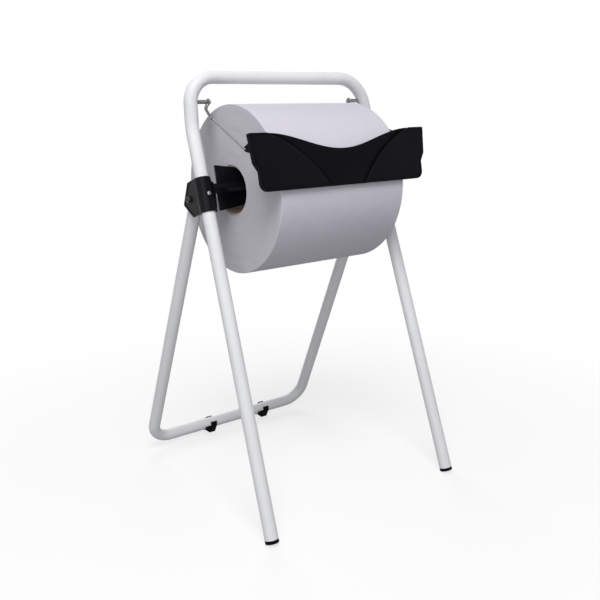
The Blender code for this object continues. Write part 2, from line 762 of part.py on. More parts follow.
def pivot_stack():
    """Faces of the pivot's washers, head and nut, as distances from the middle plane."""
    outer_washer = CHEEK_FACE + GAP
    head = outer_washer + WASHER + GAP
    inner_washer = INNER_FACE - GAP - HOLDER_FLANGE - GAP
    nut = inner_washer - WASHER - GAP
    return outer_washer, head, inner_washer, nut


def pivot_bolt(side, name, steel):
    head, nut = pivot_stack()[1], pivot_stack()[3]
    pivot = beside_leg(side * head, PIVOT_ALONG, PIVOT_BEHIND)
    out = Vector((side, 0, 0))
    shank = head - nut + NUT + PIVOT_END
    dome = PIVOT_HEAD_RADIUS * 2 / 3
    profile = [(0, PIVOT_HEAD), (dome, PIVOT_HEAD), (PIVOT_HEAD_RADIUS, PIVOT_HEAD / 3),
               (PIVOT_HEAD_RADIUS, 0), (PIVOT_RADIUS, 0), (PIVOT_RADIUS, -shank), (0, -shank)]
    bolt = turned(name, profile, axis_frame(pivot, out))
    socket = rod(name + "_socket", PIVOT_SOCKET, pivot + out * (PIVOT_HEAD / 2),
                 pivot + out * (PIVOT_HEAD + OVERRUN), 6)
    return finish(cut(bolt, socket), steel)


def pivot_nut(side, name, steel):
    outer = beside_leg(side * pivot_stack()[3], PIVOT_ALONG, PIVOT_BEHIND)
    inner = outer - Vector((side * NUT, 0, 0))
    reach = Vector((side * OVERRUN, 0, 0))
    nut = rod(name, NUT_RADIUS, outer, inner, 6)
    return finish(cut(nut, rod(name + "_bore", PIVOT_RADIUS + GAP, outer + reach, inner - reach)),
                  steel)


def pivot_washer(face, away, name, steel):
    """A washer on a face at a signed distance from the middle, laid on its outer side."""
    place = beside_leg(face, PIVOT_ALONG, PIVOT_BEHIND)
    hole = PIVOT_RADIUS + GAP
    profile = [(hole, WASHER), (WASHER_RADIUS, WASHER), (WASHER_RADIUS, 0), (hole, 0)]
    washer = turned(name, profile, axis_frame(place, Vector((away, 0, 0))), closed=True)
    return finish(washer, steel)


def pan_screw(name, frame, length, steel):
    """A pan-head screw seated on the frame's plane, with a cross slot in its head."""
    crown = SCREW_HEAD_RADIUS * 2 / 3
    base = GAP
    profile = [(0, base + SCREW_HEAD), (crown, base + SCREW_HEAD),
               (SCREW_HEAD_RADIUS, base + SCREW_HEAD / 2), (SCREW_HEAD_RADIUS, base),
               (SCREW_RADIUS, base), (SCREW_RADIUS, SCREW_RADIUS - length), (0, -length)]
    screw = turned(name, profile, frame)
    slot = SCREW_RADIUS / 2
    size = Vector((crown, slot / 2, SCREW_HEAD / 2))
    for turn in (0, math.pi / 2):
        blade = box(name + "_slot", -size, size)
        lift = Matrix.Translation((0, 0, base + SCREW_HEAD))
        blade.matrix_world = frame @ lift @ Matrix.Rotation(turn, 4, "Z")
        cut(screw, blade)
    return finish(screw, steel)


def leg_screw(side, name, steel):
    return pan_screw(name, leg_screw_frame(side), LEG_SCREW_LENGTH, steel)


def holder_screw(side, name, steel):
    seat = INNER_FACE - GAP - HOLDER_FLANGE
    frame = axis_frame(holder_screw_place(side, seat), Vector((-side, 0, 0)))
    return pan_screw(name, frame, HOLDER_SCREW_LENGTH, steel)


# Paper roll

def roll_centre():
    """The core hangs on the upper ribs, so the roll lies a little below the holders' axis."""
    holder = beside_leg(0, HOLDER_ALONG, HOLDER_BEHIND)
    drop = CORE_BORE - GAP - rib_radius(ROLL_LENGTH / 2 - CORE_INSET)
    return holder - Vector((0, 0, drop))


def sleeve(name, inner, outer, length, steps):
    """A tube about the roll's axis."""
    half = length / 2
    profile = [(inner, half), (outer, half), (outer, -half), (inner, -half)]
    return turned(name, profile, axis_frame(roll_centre(), Vector((1, 0, 0))), steps, closed=True)


def paper_roll(paper):
    inner = CORE_BORE + CORE_WALL + GAP
    roll = sleeve("paper_roll", inner, ROLL_RADIUS, ROLL_LENGTH, ROLL_ROUND_STEPS)
    return finish(roll, paper)


def cardboard_core(board):
    length = ROLL_LENGTH - 2 * CORE_INSET
    core = sleeve("cardboard_core", CORE_BORE, CORE_BORE + CORE_WALL, length, CORE_ROUND_STEPS)
    return finish(core, board)


# Tear-off plate

def plate_frame():
    """In the plate's rear plane: local X across, local Y up the plate, local Z to the front."""
    up = Vector((0, math.sin(PLATE_TILT), math.cos(PLATE_TILT)))
    front = Vector((0, -math.cos(PLATE_TILT), math.sin(PLATE_TILT)))
    touch = roll_centre() + front * (ROLL_RADIUS + GAP)
    return plane_frame(touch + up * PLATE_CONTACT, Vector((1, 0, 0)), up)


def plate_layer(frame, low, high):
    """The frame moved to the middle of a layer, measured forward from the rear plane."""
    return frame @ Matrix.Translation((0, 0, (low + high) / 2))


def wave_height(x):
    """Top edge of the plate: low in the middle and level towards both sides."""
    share = min(abs(x) / PLATE_WAVE_HALF, 1)
    return PLATE_DIP + (PLATE_TOP - PLATE_DIP) * (1 - math.cos(math.pi * share)) / 2


def plate_outline(shrink=0):
    """The plate's outline, or the same outline moved inwards."""
    side = [(PLATE_LOW_HALF, PLATE_BOTTOM), (PLATE_LOW_HALF, PLATE_STEP_LOW),
            (PLATE_STEP_HALF, PLATE_STEP_TOP), (PLATE_TOP_HALF, PLATE_TOP)]
    radii = [max(PLATE_LOW_CORNER - shrink, 0), PLATE_STEP_CORNER + shrink,
             max(PLATE_STEP_CORNER - shrink, 0), max(PLATE_TOP_CORNER - shrink, 0)]
    wave = [PLATE_WAVE_HALF * (1 - 2 * i / WAVE_STEPS) for i in range(WAVE_STEPS + 1)]
    corners = side + [(x, wave_height(x)) for x in wave] + [(-a, b) for a, b in reversed(side)]
    moved = inset(corners, shrink) if shrink else corners
    run = rounded_path([(*p, 0) for p in moved], radii + [0] * len(wave) + radii[::-1],
                       closed=True, step=PLATE_ARC_STEP)
    return [(p[0], p[1]) for p in run]


def panel_edge():
    """Inner edge of a raised side panel, an arc from the bottom edge up to the top edge."""
    points = []
    for i in range(PANEL_STEPS + 1):
        angle = PANEL_START_ANGLE + (PANEL_END_ANGLE - PANEL_START_ANGLE) * i / PANEL_STEPS
        points.append((PANEL_START + PANEL_RADIUS * (math.sin(PANEL_START_ANGLE) - math.sin(angle)),
                       PLATE_BOTTOM + PANEL_RADIUS * (math.cos(angle) - math.cos(PANEL_START_ANGLE))))
    return points


def between_panels():
    """A region wider than the plate's height, bounded by the two panels' inner edges."""
    low = PLATE_BOTTOM - PLATE_TOP
    right = [(PANEL_START, low)] + panel_edge()
    return right + [(-a, b) for a, b in reversed(right)]


def behind_panel(side):
    """A region of one side panel, kept a wall away from the panel's inner edge."""
    edge = [(a + PLATE_SKIN * 2, b) for a, b in panel_edge()]
    far = PLATE_TOP_HALF * 2
    region = [(edge[0][0], PLATE_BOTTOM * 2)] + edge + [(far, edge[-1][1]), (far, PLATE_BOTTOM * 2)]
    return [(side * a, b) for a, b in region]


def tear_plate(black):
    frame = plate_frame()
    front = PLATE_THICKNESS + OVERRUN
    plate = slab("tear_plate", plate_outline(), PLATE_THICKNESS,
                 plate_layer(frame, 0, PLATE_THICKNESS))
    soften(plate, MOULD_EDGE)
    groove_low = PLATE_THICKNESS - PLATE_GROOVE_DEPTH
    groove = slab("plate_groove", plate_outline(PLATE_RIM), front - groove_low,
                  plate_layer(frame, groove_low, front), [plate_outline(PLATE_RIM + PLATE_GROOVE)])
    slope = math.atan2(SCOOP_TOP - SCOOP_LOW, PLATE_DIP - PLATE_BOTTOM)
    floor_point_low = Vector((0, PLATE_BOTTOM, PLATE_THICKNESS - SCOOP_LOW))
    tilt = Matrix.Translation(floor_point_low) @ Matrix.Rotation(-slope, 4, "X")
    scoop_frame = frame @ tilt @ Matrix.Translation((0, -PLATE_BOTTOM, front / 2))
    scoop = slab("plate_scoop", between_panels(), front, scoop_frame)
    cut(plate, groove, scoop)
    hollow_front = PLATE_THICKNESS - PLATE_SKIN
    for side in (-1, 1):
        hollow = slab("panel_hollow", behind_panel(side), hollow_front + OVERRUN,
                      plate_layer(frame, -OVERRUN, hollow_front))
        wall = slab("panel_wall", plate_outline(PLATE_SKIN), 2 * front, plate_layer(frame, 0, 0))
        cut(plate, combine(hollow, wall, "INTERSECT"))
        join(plate, plate_lug(side, frame))
        hole = lug_centre(side)
        reach = Vector((LUG_THICKNESS, 0, 0))
        cut(plate, rod("lug_hole", WIRE_RADIUS + GAP, hole - reach, hole + reach))
    return finish(plate, black)


def lug_centre(side):
    """Centre of the hole in a lug, behind the plate's rear plane."""
    return plate_frame() @ Vector((side * LUG_X, LUG_UP, -LUG_REACH))


def plate_lug(side, frame):
    """A tab behind the plate's side edge that takes the end of a wire arm."""
    root = PLATE_THICKNESS - PLATE_SKIN / 2
    circles = [(-LUG_REACH, 0, LUG_RADIUS), (root, LUG_ROOT, LUG_ROOT_RADIUS),
               (root, -LUG_ROOT, LUG_ROOT_RADIUS)]
    origin = frame @ Vector((side * LUG_X, LUG_UP, 0))
    out = frame.to_3x3() @ Vector((0, 0, 1))
    up = frame.to_3x3() @ Vector((0, 1, 0))
    return slab("plate_lug", hull_outline(circles), LUG_THICKNESS, plane_frame(origin, out, up))


# Hanger pins and wire arms

def pin_end(side):
    """Where a pin's head ends: all pins stand equally far out of the handle's bend."""
    return bend_side(side, -TUBE_RADIUS) - PIN_LENGTH


def eye_x(side):
    """Middle of the pin's groove, where the wire's eye sits."""
    return pin_end(side) + PIN_HEAD + GAP + WIRE_RADIUS


def hanger_pin(side, name, steel):
    """A rod with a grooved head. Its root follows the bend, and a thinner stud enters the tube."""
    inward = Vector((-side, 0, 0))
    middle = bend_side(side, 0)
    length = middle - pin_end(side)
    groove_end = length - PIN_HEAD
    groove_start = groove_end - 2 * (WIRE_RADIUS + GAP)
    crown = PIN_RADIUS - PIN_HEAD / 4
    profile = [(0, length), (crown, length), (PIN_RADIUS, length - PIN_HEAD / 4),
               (PIN_RADIUS, groove_end), (PIN_GROOVE_RADIUS, groove_end),
               (PIN_GROOVE_RADIUS, groove_start), (PIN_RADIUS, groove_start), (PIN_RADIUS, 0),
               (0, 0)]
    base = floor_point(side * middle, HANDLE_BACK, PIN_HEIGHT)
    pin = turned(name, profile, axis_frame(base, inward))
    cut(pin, swept_tube(name + "_root", front_path(0), TUBE_RADIUS + GAP, TUBE_RESOLUTION))
    surface = floor_point(side * bend_side(side, -TUBE_RADIUS), HANDLE_BACK, PIN_HEIGHT)
    stud = rod(name + "_stud", PIN_STUD_RADIUS, surface - inward * PIN_STUD,
               surface + inward * PIN_STUD)
    return finish(join(pin, stud), steel)


def wire_arm(side, name, steel):
    """One bent wire: an eye round the pin, a kink below it and an end through the plate's lug."""
    x = side * eye_x(side)
    centre = floor_point(x, HANDLE_BACK, PIN_HEIGHT)
    radius = PIN_GROOVE_RADIUS + GAP + WIRE_RADIUS
    eye = [Vector((x, centre.y - radius * math.cos(angle), centre.z + radius * math.sin(angle)))
           for angle in arc_angles(EYE_START, EYE_END)]
    kink = centre + Vector((0, KINK_BACK, -KINK_DROP))
    bend = centre + Vector((0, -BEND_FRONT, -BEND_DROP))
    hole = lug_centre(side)
    outward = LUG_THICKNESS / 2 + GAP + WIRE_END_BEND
    corner = hole + Vector((side * outward, 0, 0))
    tip = hole - Vector((side * WIRE_END, 0, 0))
    run = rounded_path([eye[-1], kink, bend, corner, tip],
                       (0, KINK_BEND, BEND_RADIUS, WIRE_END_BEND, 0), step=ARC_STEP * 2)
    path = eye[:-1] + run
    return finish(swept_tube(name, path, WIRE_RADIUS, WIRE_RESOLUTION), steel)


def arc_angles(start, end, step=ARC_STEP * 2):
    count = math.ceil(abs(end - start) / step)
    return [start + (end - start) * i / count for i in range(count + 1)]


def build():
    clear_scene()
    white_paint = material("white_powder_coat", (0.80, 0.81, 0.80), 0.35)
    black_plastic = material("black_moulded_plastic", (0.018, 0.017, 0.020), 0.42)
    black_rubber = material("black_rubber", (0.015, 0.015, 0.016), 0.7)
    steel = material("zinc_plated_steel", (0.45, 0.46, 0.47), 0.35, 1.0)
    paper = material("white_paper", (0.74, 0.73, 0.78), 0.9)
    board = material("brown_cardboard", (0.30, 0.19, 0.12), 0.9)
    outer_washer, _, inner_washer, _ = pivot_stack()
    front_frame(white_paint)
    rear_frame(white_paint)
    clip_foot(-CLIP_LEFT, "rear_clip_foot_left", black_rubber)
    clip_foot(CLIP_RIGHT, "rear_clip_foot_right", black_rubber)
    for side, word in ((-1, "left"), (1, "right")):
        front_cap(side, "front_foot_cap_" + word, black_rubber)
        pivot_insert(side, "pivot_insert_" + word, black_plastic)
        hinge_bracket(side, "hinge_bracket_" + word, black_plastic)
        core_holder(side, "core_holder_" + word, black_plastic)
        pivot_bolt(side, "pivot_bolt_" + word, steel)
        pivot_nut(side, "pivot_nut_" + word, steel)
        pivot_washer(side * outer_washer, side, "outer_washer_" + word, steel)
        pivot_washer(side * inner_washer, -side, "inner_washer_" + word, steel)
        leg_screw(side, "leg_screw_" + word, steel)
        holder_screw(side, "holder_screw_" + word, steel)
        hanger_pin(side, "hanger_pin_" + word, steel)
        wire_arm(side, "wire_arm_" + word, steel)
    paper_roll(paper)
    cardboard_core(board)
    tear_plate(black_plastic)


build()
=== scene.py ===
# %% [markdown]
# A folding stand for a wide paper roll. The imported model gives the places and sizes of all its
# pieces. This script dresses it: each visible piece is built again with finer curves and soft edges,
# and gets a material with the grain and wear that the real surface has.

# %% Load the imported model
from math import atan2, ceil, cos, degrees, hypot, pi, radians, sin, sqrt, tan

import bmesh
import bpy
from mathutils import Matrix, Vector, geometry


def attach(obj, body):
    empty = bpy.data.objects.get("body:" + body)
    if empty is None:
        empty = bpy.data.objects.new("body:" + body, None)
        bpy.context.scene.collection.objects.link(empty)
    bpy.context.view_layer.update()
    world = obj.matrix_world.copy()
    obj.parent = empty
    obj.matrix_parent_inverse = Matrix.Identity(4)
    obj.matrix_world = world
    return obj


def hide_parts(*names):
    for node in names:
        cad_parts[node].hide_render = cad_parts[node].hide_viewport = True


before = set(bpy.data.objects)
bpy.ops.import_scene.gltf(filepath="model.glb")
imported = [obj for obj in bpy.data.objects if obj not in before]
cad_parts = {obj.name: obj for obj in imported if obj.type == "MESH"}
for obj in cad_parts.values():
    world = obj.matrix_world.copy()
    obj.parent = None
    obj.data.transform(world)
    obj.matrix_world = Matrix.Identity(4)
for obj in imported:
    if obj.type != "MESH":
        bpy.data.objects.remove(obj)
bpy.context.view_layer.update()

# %% [markdown]
# The camera comes first, so that every later step can be judged in the picture. It stands in front,
# to the left, and looks slightly down. Its directions were fitted to points of the photograph: the
# feet, the handle's bends, the roll's rims and the plate's corners.

# %% Camera
FRONT_FEET_Y = -0.21881
LOOK_FORWARD = Vector((0.58657, 0.77316, -0.24116)).normalized()
LOOK_UP = Vector((0.15784, 0.18293, 0.97037))
LOOK_FROM = (-0.8064, FRONT_FEET_Y - 0.8823, 0.656)
SENSOR_WIDTH, LENS = 36, 46.224


def put(name, data, place=Matrix()):
    """A new object in the scene, made of the given mesh, curve, camera or lamp."""
    item = bpy.data.objects.new(name, data)
    item.matrix_world = place
    bpy.context.scene.collection.objects.link(item)
    return item


def photo_camera():
    """A camera whose right, up and forward directions are given outright."""
    right = LOOK_FORWARD.cross(LOOK_UP).normalized()
    data = bpy.data.cameras.new("photo_camera")
    data.sensor_width = SENSOR_WIDTH
    data.lens = LENS
    turn = Matrix((right, right.cross(LOOK_FORWARD), -LOOK_FORWARD)).transposed().to_4x4()
    return put("photo_camera", data, Matrix.Translation(LOOK_FROM) @ turn)


bpy.context.scene.camera = photo_camera()
print("camera at", [round(c, 3) for c in bpy.context.scene.camera.matrix_world.translation])

# %% [markdown]
# Most places are easiest to give along the leaning front leg and square behind it, as a maker marks
# them on the tube. These helpers turn such marks into places and frames.

# %% Directions and places on the stand
FRONT_FEET = Vector((0, FRONT_FEET_Y, 0))
NECK_BACK, NECK_HEIGHT = 0.2143, 0.6286
LEAN = atan2(NECK_BACK, NECK_HEIGHT)
LEG_RUN = hypot(NECK_BACK, NECK_HEIGHT)
HANDLE_HALF = 0.1837
SPLAY = 0.0141
GAP = 0.0003
SIDES = ((-1, "left"), (1, "right"))
RIGHT, BACK, UP = Vector((1, 0, 0)), Vector((0, 1, 0)), Vector((0, 0, 1))
LEG_UP = Vector((0, sin(LEAN), cos(LEAN)))
LEG_BACK = Vector((0, cos(LEAN), -sin(LEAN)))


def beside_leg(x, along, behind):
    """A place given along the front leg and square behind it, as seen from the side."""
    return FRONT_FEET + RIGHT * x + LEG_UP * along + LEG_BACK * behind


def leg_x(along):
    return HANDLE_HALF + SPLAY * (1 - along / LEG_RUN)


def leg_direction(side):
    return Vector((-side * SPLAY, NECK_BACK, NECK_HEIGHT)).normalized()


def plane_frame(origin, across, up):
    """Local X runs across, local Y up, and local Z is square to both."""
    across = across.normalized()
    normal = across.cross(up).normalized()
    turn = Matrix((across, normal.cross(across), normal)).transposed()
    return Matrix.Translation(origin) @ turn.to_4x4()


def axis_frame(origin, direction):
    """Local Z runs along the direction."""
    return Matrix.Translation(origin) @ direction.to_track_quat("Z", "Y").to_matrix().to_4x4()


def side_frame(x, along, behind):
    """The bracket's side plane: local X behind the leg, local Y along it."""
    return plane_frame(beside_leg(x, along, behind), LEG_BACK, LEG_UP)


print("front leg leans", round(degrees(LEAN), 2), "degrees")

# %% [markdown]
# Bent tubes and moulded outlines are straight runs with an arc at each corner, so one function
# serves both. The others move an outline inwards and stretch a band round circles.

# %% Paths and outlines with rounded corners
SHORTEST_MITRE = 0.5


def rounded_path(corners, radii, closed=False, step=4.0):
    """Straight runs with an arc at each corner; step is the arc's angle per piece."""
    points = []
    count = len(corners)
    for i, place in enumerate(corners):
        corner = Vector(place)
        radius = radii[i]
        if radius == 0 or (not closed and i in (0, count - 1)):
            points.append(corner)
            continue
        back = (Vector(corners[i - 1]) - corner).normalized()
        ahead = (Vector(corners[(i + 1) % count]) - corner).normalized()
        half = back.angle(ahead) / 2
        centre = corner + (back + ahead).normalized() * (radius / sin(half))
        first = corner + back * (radius / tan(half)) - centre
        turn = pi - 2 * half
        steps = max(2, ceil(degrees(turn) / step))
        for k in range(steps + 1):
            angle = turn * k / steps
            points.append(centre + first * cos(angle) - back * (radius * sin(angle)))
    return points


def flat_path(corners, radii, step=6.0):
    """A closed outline in a plane, as pairs."""
    run = rounded_path([(*c, 0) for c in corners], radii, closed=True, step=step)
    return [(p.x, p.y) for p in run]


def inset(outline, distance):
    """A closed outline moved inwards."""
    if not distance:
        return outline
    points = [Vector(p) for p in outline]
    count = len(points)
    area = sum(points[i - 1].cross(points[i]) for i in range(count))
    inward = distance if area > 0 else -distance
    moved = []
    for i, point in enumerate(points):
        before = (point - points[i - 1]).normalized()
        after = (points[(i + 1) % count] - point).normalized()
        normals = [Vector((-d.y, d.x)) for d in (before, after)]
        mitre = (normals[0] + normals[1]).normalized()
        moved.append(point + mitre * (inward / max(mitre.dot(normals[0]), SHORTEST_MITRE)))
    return [tuple(p) for p in moved]


def arc_angles(start, end, step=6.0):
    """Angles in radians from start to end, given in degrees."""
    count = max(2, ceil(abs(end - start) / step))
    return [radians(start + (end - start) * i / count) for i in range(count + 1)]


def band_round(circles, steps=48):
    """The outline of a band stretched round circles, each given as across, up and radius."""
    cloud = [(a + r * cos(t), b + r * sin(t)) for a, b, r in circles
             for t in (2 * pi * i / steps for i in range(steps))]
    return [cloud[i] for i in geometry.convex_hull_2d(cloud)]


print("a quarter bend is drawn in", len(arc_angles(0, 90)) - 1, "steps")

# %% [markdown]
# Every piece is made from a few basic shapes: a flat outline given a thickness, a profile turned
# about an axis, a round bar swept along a path, and a plain rod.

# %% Basic shapes
WELD = 0.000001
made = []


def bake(item):
    """The item with its modifiers applied and its place moved into its vertices."""
    bpy.context.view_layer.update()
    evaluated = item.evaluated_get(bpy.context.evaluated_depsgraph_get())
    mesh = bpy.data.meshes.new_from_object(evaluated)
    mesh.transform(item.matrix_world)
    mesh.name = name = item.name
    bpy.data.objects.remove(item, do_unlink=True)
    return put(name, mesh)


def to_mesh(name, shape):
    mesh = bpy.data.meshes.new(name)
    shape.to_mesh(mesh)
    shape.free()
    return mesh


def weld(item):
    shape = bmesh.new()
    shape.from_mesh(item.data)
    bmesh.ops.remove_doubles(shape, verts=shape.verts, dist=WELD)
    bmesh.ops.recalc_face_normals(shape, faces=shape.faces)
    shape.to_mesh(item.data)
    shape.free()
    return item


def poly_curve(name, dimensions, loops, closed):
    """A curve of straight pieces through each loop's points."""
    curve = bpy.data.curves.new(name, "CURVE")
    curve.dimensions = dimensions
    for loop in loops:
        spline = curve.splines.new("POLY")
        spline.points.add(len(loop) - 1)
        for point, place in zip(spline.points, loop):
            point.co = Vector(place).to_4d()
        spline.use_cyclic_u = closed
    return curve


def slab(name, outline, thickness, place, holes=()):
    """A flat outline with half its thickness to each side of its plane."""
    curve = poly_curve(name, "2D", (outline, *holes), True)
    curve.fill_mode = "BOTH"
    curve.extrude = thickness / 2
    return weld(bake(put(name, curve, place)))


def swept(name, path, radius, resolution=8):
    """A round bar along a path, with its ends filled."""
    curve = poly_curve(name, "3D", (path,), False)
    curve.bevel_depth = radius
    curve.bevel_resolution = resolution
    curve.use_fill_caps = True
    return weld(bake(put(name, curve)))


def rod(name, radius, start, end, steps=40, end_radius=None):
    """A cylinder, or a cone, from one point to another."""
    shape = bmesh.new()
    bmesh.ops.create_cone(shape, cap_ends=True, segments=steps, radius1=radius,
                          radius2=end_radius or radius, depth=(end - start).length)
    return bake(put(name, to_mesh(name, shape), axis_frame((start + end) / 2, end - start)))


def turned(name, profile, place, steps=64, closed=False):
    """A profile of radius and height, from top to bottom, turned about local Z."""
    mesh = bpy.data.meshes.new(name)
    last = len(profile) - 1
    edges = [(i, i + 1) for i in range(last)] + [(last, 0)] * closed
    mesh.from_pydata([(r, 0, h) for r, h in profile], edges, [])
    item = put(name, mesh, place)
    screw = item.modifiers.new("turn", "SCREW")
    screw.steps = screw.render_steps = steps
    screw.use_merge_vertices = True
    screw.merge_threshold = WELD * 10
    return weld(bake(item))


def mirrored(half, flip_a=1, flip_b=-1):
    """Half the points of a profile or an outline, and then their mirror images."""
    return half + [(flip_a * a, flip_b * b) for a, b in reversed(half)]


# %% [markdown]
# The shapes are joined and cut with exact Booleans. Then their edges are rounded, because no moulded
# or pressed edge is sharp. In a very tight corner that can leave a face twice, and the mesh check
# takes the second one out. Each finished piece is handed to the body that it moves with, and takes
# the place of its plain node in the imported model.

# %% Joining, cutting, softening and handing over
ROUND_SMOOTH, WIRE_SMOOTH = 40, 60


def combine(item, tools, operation):
    for tool in tools:
        step = item.modifiers.new("step", "BOOLEAN")
        step.operation = operation
        step.solver = "EXACT"
        step.object = tool
    item = bake(item)
    for tool in tools:
        bpy.data.objects.remove(tool, do_unlink=True)
    return item


def cut(item, *tools):
    return combine(item, tools, "DIFFERENCE")


def join(item, *tools):
    return combine(item, tools, "UNION")


def soften(item, width, segments=3, angle=38):
    """Round the sharp edges that the item has so far."""
    bevel = item.modifiers.new("soften", "BEVEL")
    bevel.width = width
    bevel.segments = segments
    bevel.limit_method = "ANGLE"
    bevel.angle_limit = radians(angle)
    return bake(item)


def settle(item, body, node, material, slot, smooth=30):
    """The last step of every piece; faces that meet flatter than smooth are shaded as one."""
    item.data.validate()
    item.data.materials.clear()
    item.data.materials.append(material)
    item.data.shade_smooth()
    item.data.set_sharp_from_angle(angle=radians(smooth))
    even = item.modifiers.new("even_shading", "WEIGHTED_NORMAL")
    even.keep_sharp = True
    item.name = node + "_dressed"
    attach(item, body)
    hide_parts(node)
    made.append(item.name)
    print(node, len(item.data.polygons), "faces")


def settle_pairs(*kinds):
    """Pieces that stand on both sides; each kind has its function, body, node and finish."""
    for side, word in SIDES:
        for make, body, node, *finish in kinds:
            settle(make(side), body, node + word, *finish)


# %% [markdown]
# Materials are node trees. One helper adds a node and feeds its inputs with numbers, colours or
# other nodes' outputs, and short ones name the nodes that come back again and again. A Mix node has
# several sockets of the same name, one for each kind of value, so these are found by their number.

# %% Nodes
VALUE_A, VALUE_B = 2, 3
COLOUR_A, COLOUR_B, COLOUR_OUT = 6, 7, 2


def feed(sockets, values):
    """Set each named socket to a number, a vector or a colour, or link an output to it."""
    for name, value in values.items():
        if isinstance(value, bpy.types.NodeSocket):
            value.id_data.links.new(value, sockets[name])
        elif sockets[name].type == "RGBA":
            sockets[name].default_value = (*value, 1)
        else:
            sockets[name].default_value = value


def add_node(kind, inputs, tree=None, **settings):
    """The outputs of a new node, which joins the tree of the nodes that feed it."""
    tree = tree or next(v.id_data for v in inputs.values() if isinstance(v, bpy.types.NodeSocket))
    node = tree.nodes.new(kind)
    for name, setting in settings.items():
        setattr(node, name, setting)
    feed(node.inputs, inputs)
    return node.outputs


def noise(vector, scale, detail=3.0, roughness=0.55):
    return add_node("ShaderNodeTexNoise", {
        "Vector": vector, "Scale": scale, "Detail": detail, "Roughness": roughness})["Fac"]


def remap(value, low, high, out_low=0.0, out_high=1.0):
    return add_node("ShaderNodeMapRange", {
        "Value": value, "From Min": low, "From Max": high,
        "To Min": out_low, "To Max": out_high})["Result"]


def maths(operation, a, b=0.0):
    return add_node("ShaderNodeMath", {0: a, 1: b}, operation=operation)[0]


def times(a, b):
    return maths("MULTIPLY", a, b)


def plus(a, b):
    return maths("ADD", a, b)


def axis_distance(a, b):
    """The distance from the axis of a point that lies a and b from it."""
    return maths("SQRT", plus(times(a, a), times(b, b)))


def mix_colour(factor, a, b):
    return add_node("ShaderNodeMix", {0: factor, COLOUR_A: a, COLOUR_B: b},
                    data_type="RGBA")[COLOUR_OUT]


def separate(place):
    return add_node("ShaderNodeSeparateXYZ", {0: place})


# %% [markdown]
# Effects that several finishes share are node groups: a slow colour drift, a fine grain for the
# bump, and rub marks. A group reads the place on the piece that the material hands it and puts out
# colours, masks and heights only. The shader itself stays in each material.

# %% Shared effects
VECTOR, FLOAT, COLOUR = "NodeSocketVector", "NodeSocketFloat", "NodeSocketColor"
NOISE_LOW, NOISE_HIGH = 0.3, 0.7
BROAD_GRAIN, FINE_SHARE = 0.23, 0.65
RUBS_FROM, RUBS_TO, RUBS_BREAKUP = 0.62, 0.74, 7.0


def new_group(name, inputs, outputs):
    """A group's tree, the sockets that bring its inputs, and those that take its outputs."""
    tree = bpy.data.node_groups.new(name, "ShaderNodeTree")
    for in_out, sockets in (("INPUT", inputs), ("OUTPUT", outputs)):
        for label, kind in sockets.items():
            tree.interface.new_socket(label, in_out=in_out, socket_type=kind)
    return (tree, tree.nodes.new("NodeGroupInput").outputs,
            tree.nodes.new("NodeGroupOutput").inputs)


def make_drift():
    """Slow change between two near colours, as in any sprayed, moulded or milled surface."""
    tree, given, out = new_group(
        "colour_drift", {"Place": VECTOR, "Scale": FLOAT, "Light": COLOUR, "Dark": COLOUR},
        {"Colour": COLOUR, "Mask": FLOAT})
    mask = remap(noise(given["Place"], given["Scale"], 4), NOISE_LOW, NOISE_HIGH)
    feed(out, {"Colour": mix_colour(mask, given["Light"], given["Dark"]), "Mask": mask})
    return tree


def make_grain():
    """Two sizes of fine noise: one for bump height, one for roughness."""
    tree, given, out = new_group("fine_grain", {"Place": VECTOR, "Scale": FLOAT},
                                 {"Height": FLOAT, "Mask": FLOAT})
    fine = noise(given["Place"], given["Scale"], 2, 0.6)
    broad = noise(given["Place"], times(given["Scale"], BROAD_GRAIN), 2, 0.5)
    feed(out, {"Height": plus(times(fine, FINE_SHARE), times(broad, 1 - FINE_SHARE)),
               "Mask": remap(broad, 0.35, 0.65)})
    return tree


def make_rubs():
    """Sparse soft marks where hands, floors and boxes have touched the piece."""
    tree, given, out = new_group("rub_marks", {"Place": VECTOR, "Scale": FLOAT}, {"Mask": FLOAT})
    patches = remap(noise(given["Place"], given["Scale"], 5, 0.65), RUBS_FROM, RUBS_TO)
    breakup = noise(given["Place"], times(given["Scale"], RUBS_BREAKUP), 3, 0.7)
    feed(out, {"Mask": times(patches, breakup)})
    return tree


DRIFT, GRAIN, RUBS = make_drift(), make_grain(), make_rubs()
print("shared effects:", [g.name for g in (DRIFT, GRAIN, RUBS)])

# %% [markdown]
# Each material starts with a Principled shader and the piece's own coordinates, so that the grain
# travels with a piece when a joint moves it. It ends with a colour and a bump.

# %% Starting and finishing a material


def start_finish(name, constants):
    """A material, its shader's inputs and the place on the piece."""
    material = bpy.data.materials.new(name)
    material.use_nodes = True
    nodes = material.node_tree.nodes
    surface = nodes["Principled BSDF"].inputs
    feed(surface, constants)
    print("finish:", name)
    return material, surface, nodes.new("ShaderNodeTexCoord").outputs["Object"]


def use(group, place, **values):
    return add_node("ShaderNodeGroup", {"Place": place, **values}, node_tree=group)


def finish_surface(surface, height, depth, strength, looks):
    """Wire in the looks, and a bump of the given height pattern and depth."""
    bump = add_node("ShaderNodeBump", {"Height": height, "Distance": depth, "Strength": strength})
    feed(surface, {**looks, "Normal": bump["Normal"]})


# %% [markdown]
# The frame is powder coated: sprayed dry and baked, so it is slightly wavy like orange peel, even in
# colour, and has a satin gloss. Rub marks turn it a little greyer and rougher.

# %% White powder coat
COAT_LIGHT, COAT_DARK, COAT_RUBBED = (0.78, 0.785, 0.805), (0.74, 0.745, 0.765), (0.60, 0.60, 0.60)
COAT_GLOSS, COAT_PEEL = 0.15, 0.00010
COAT_SMOOTH, COAT_ROUGH = 0.31, 0.38
COAT_RUB_GREY, COAT_RUB_ROUGH = 0.3, 0.2


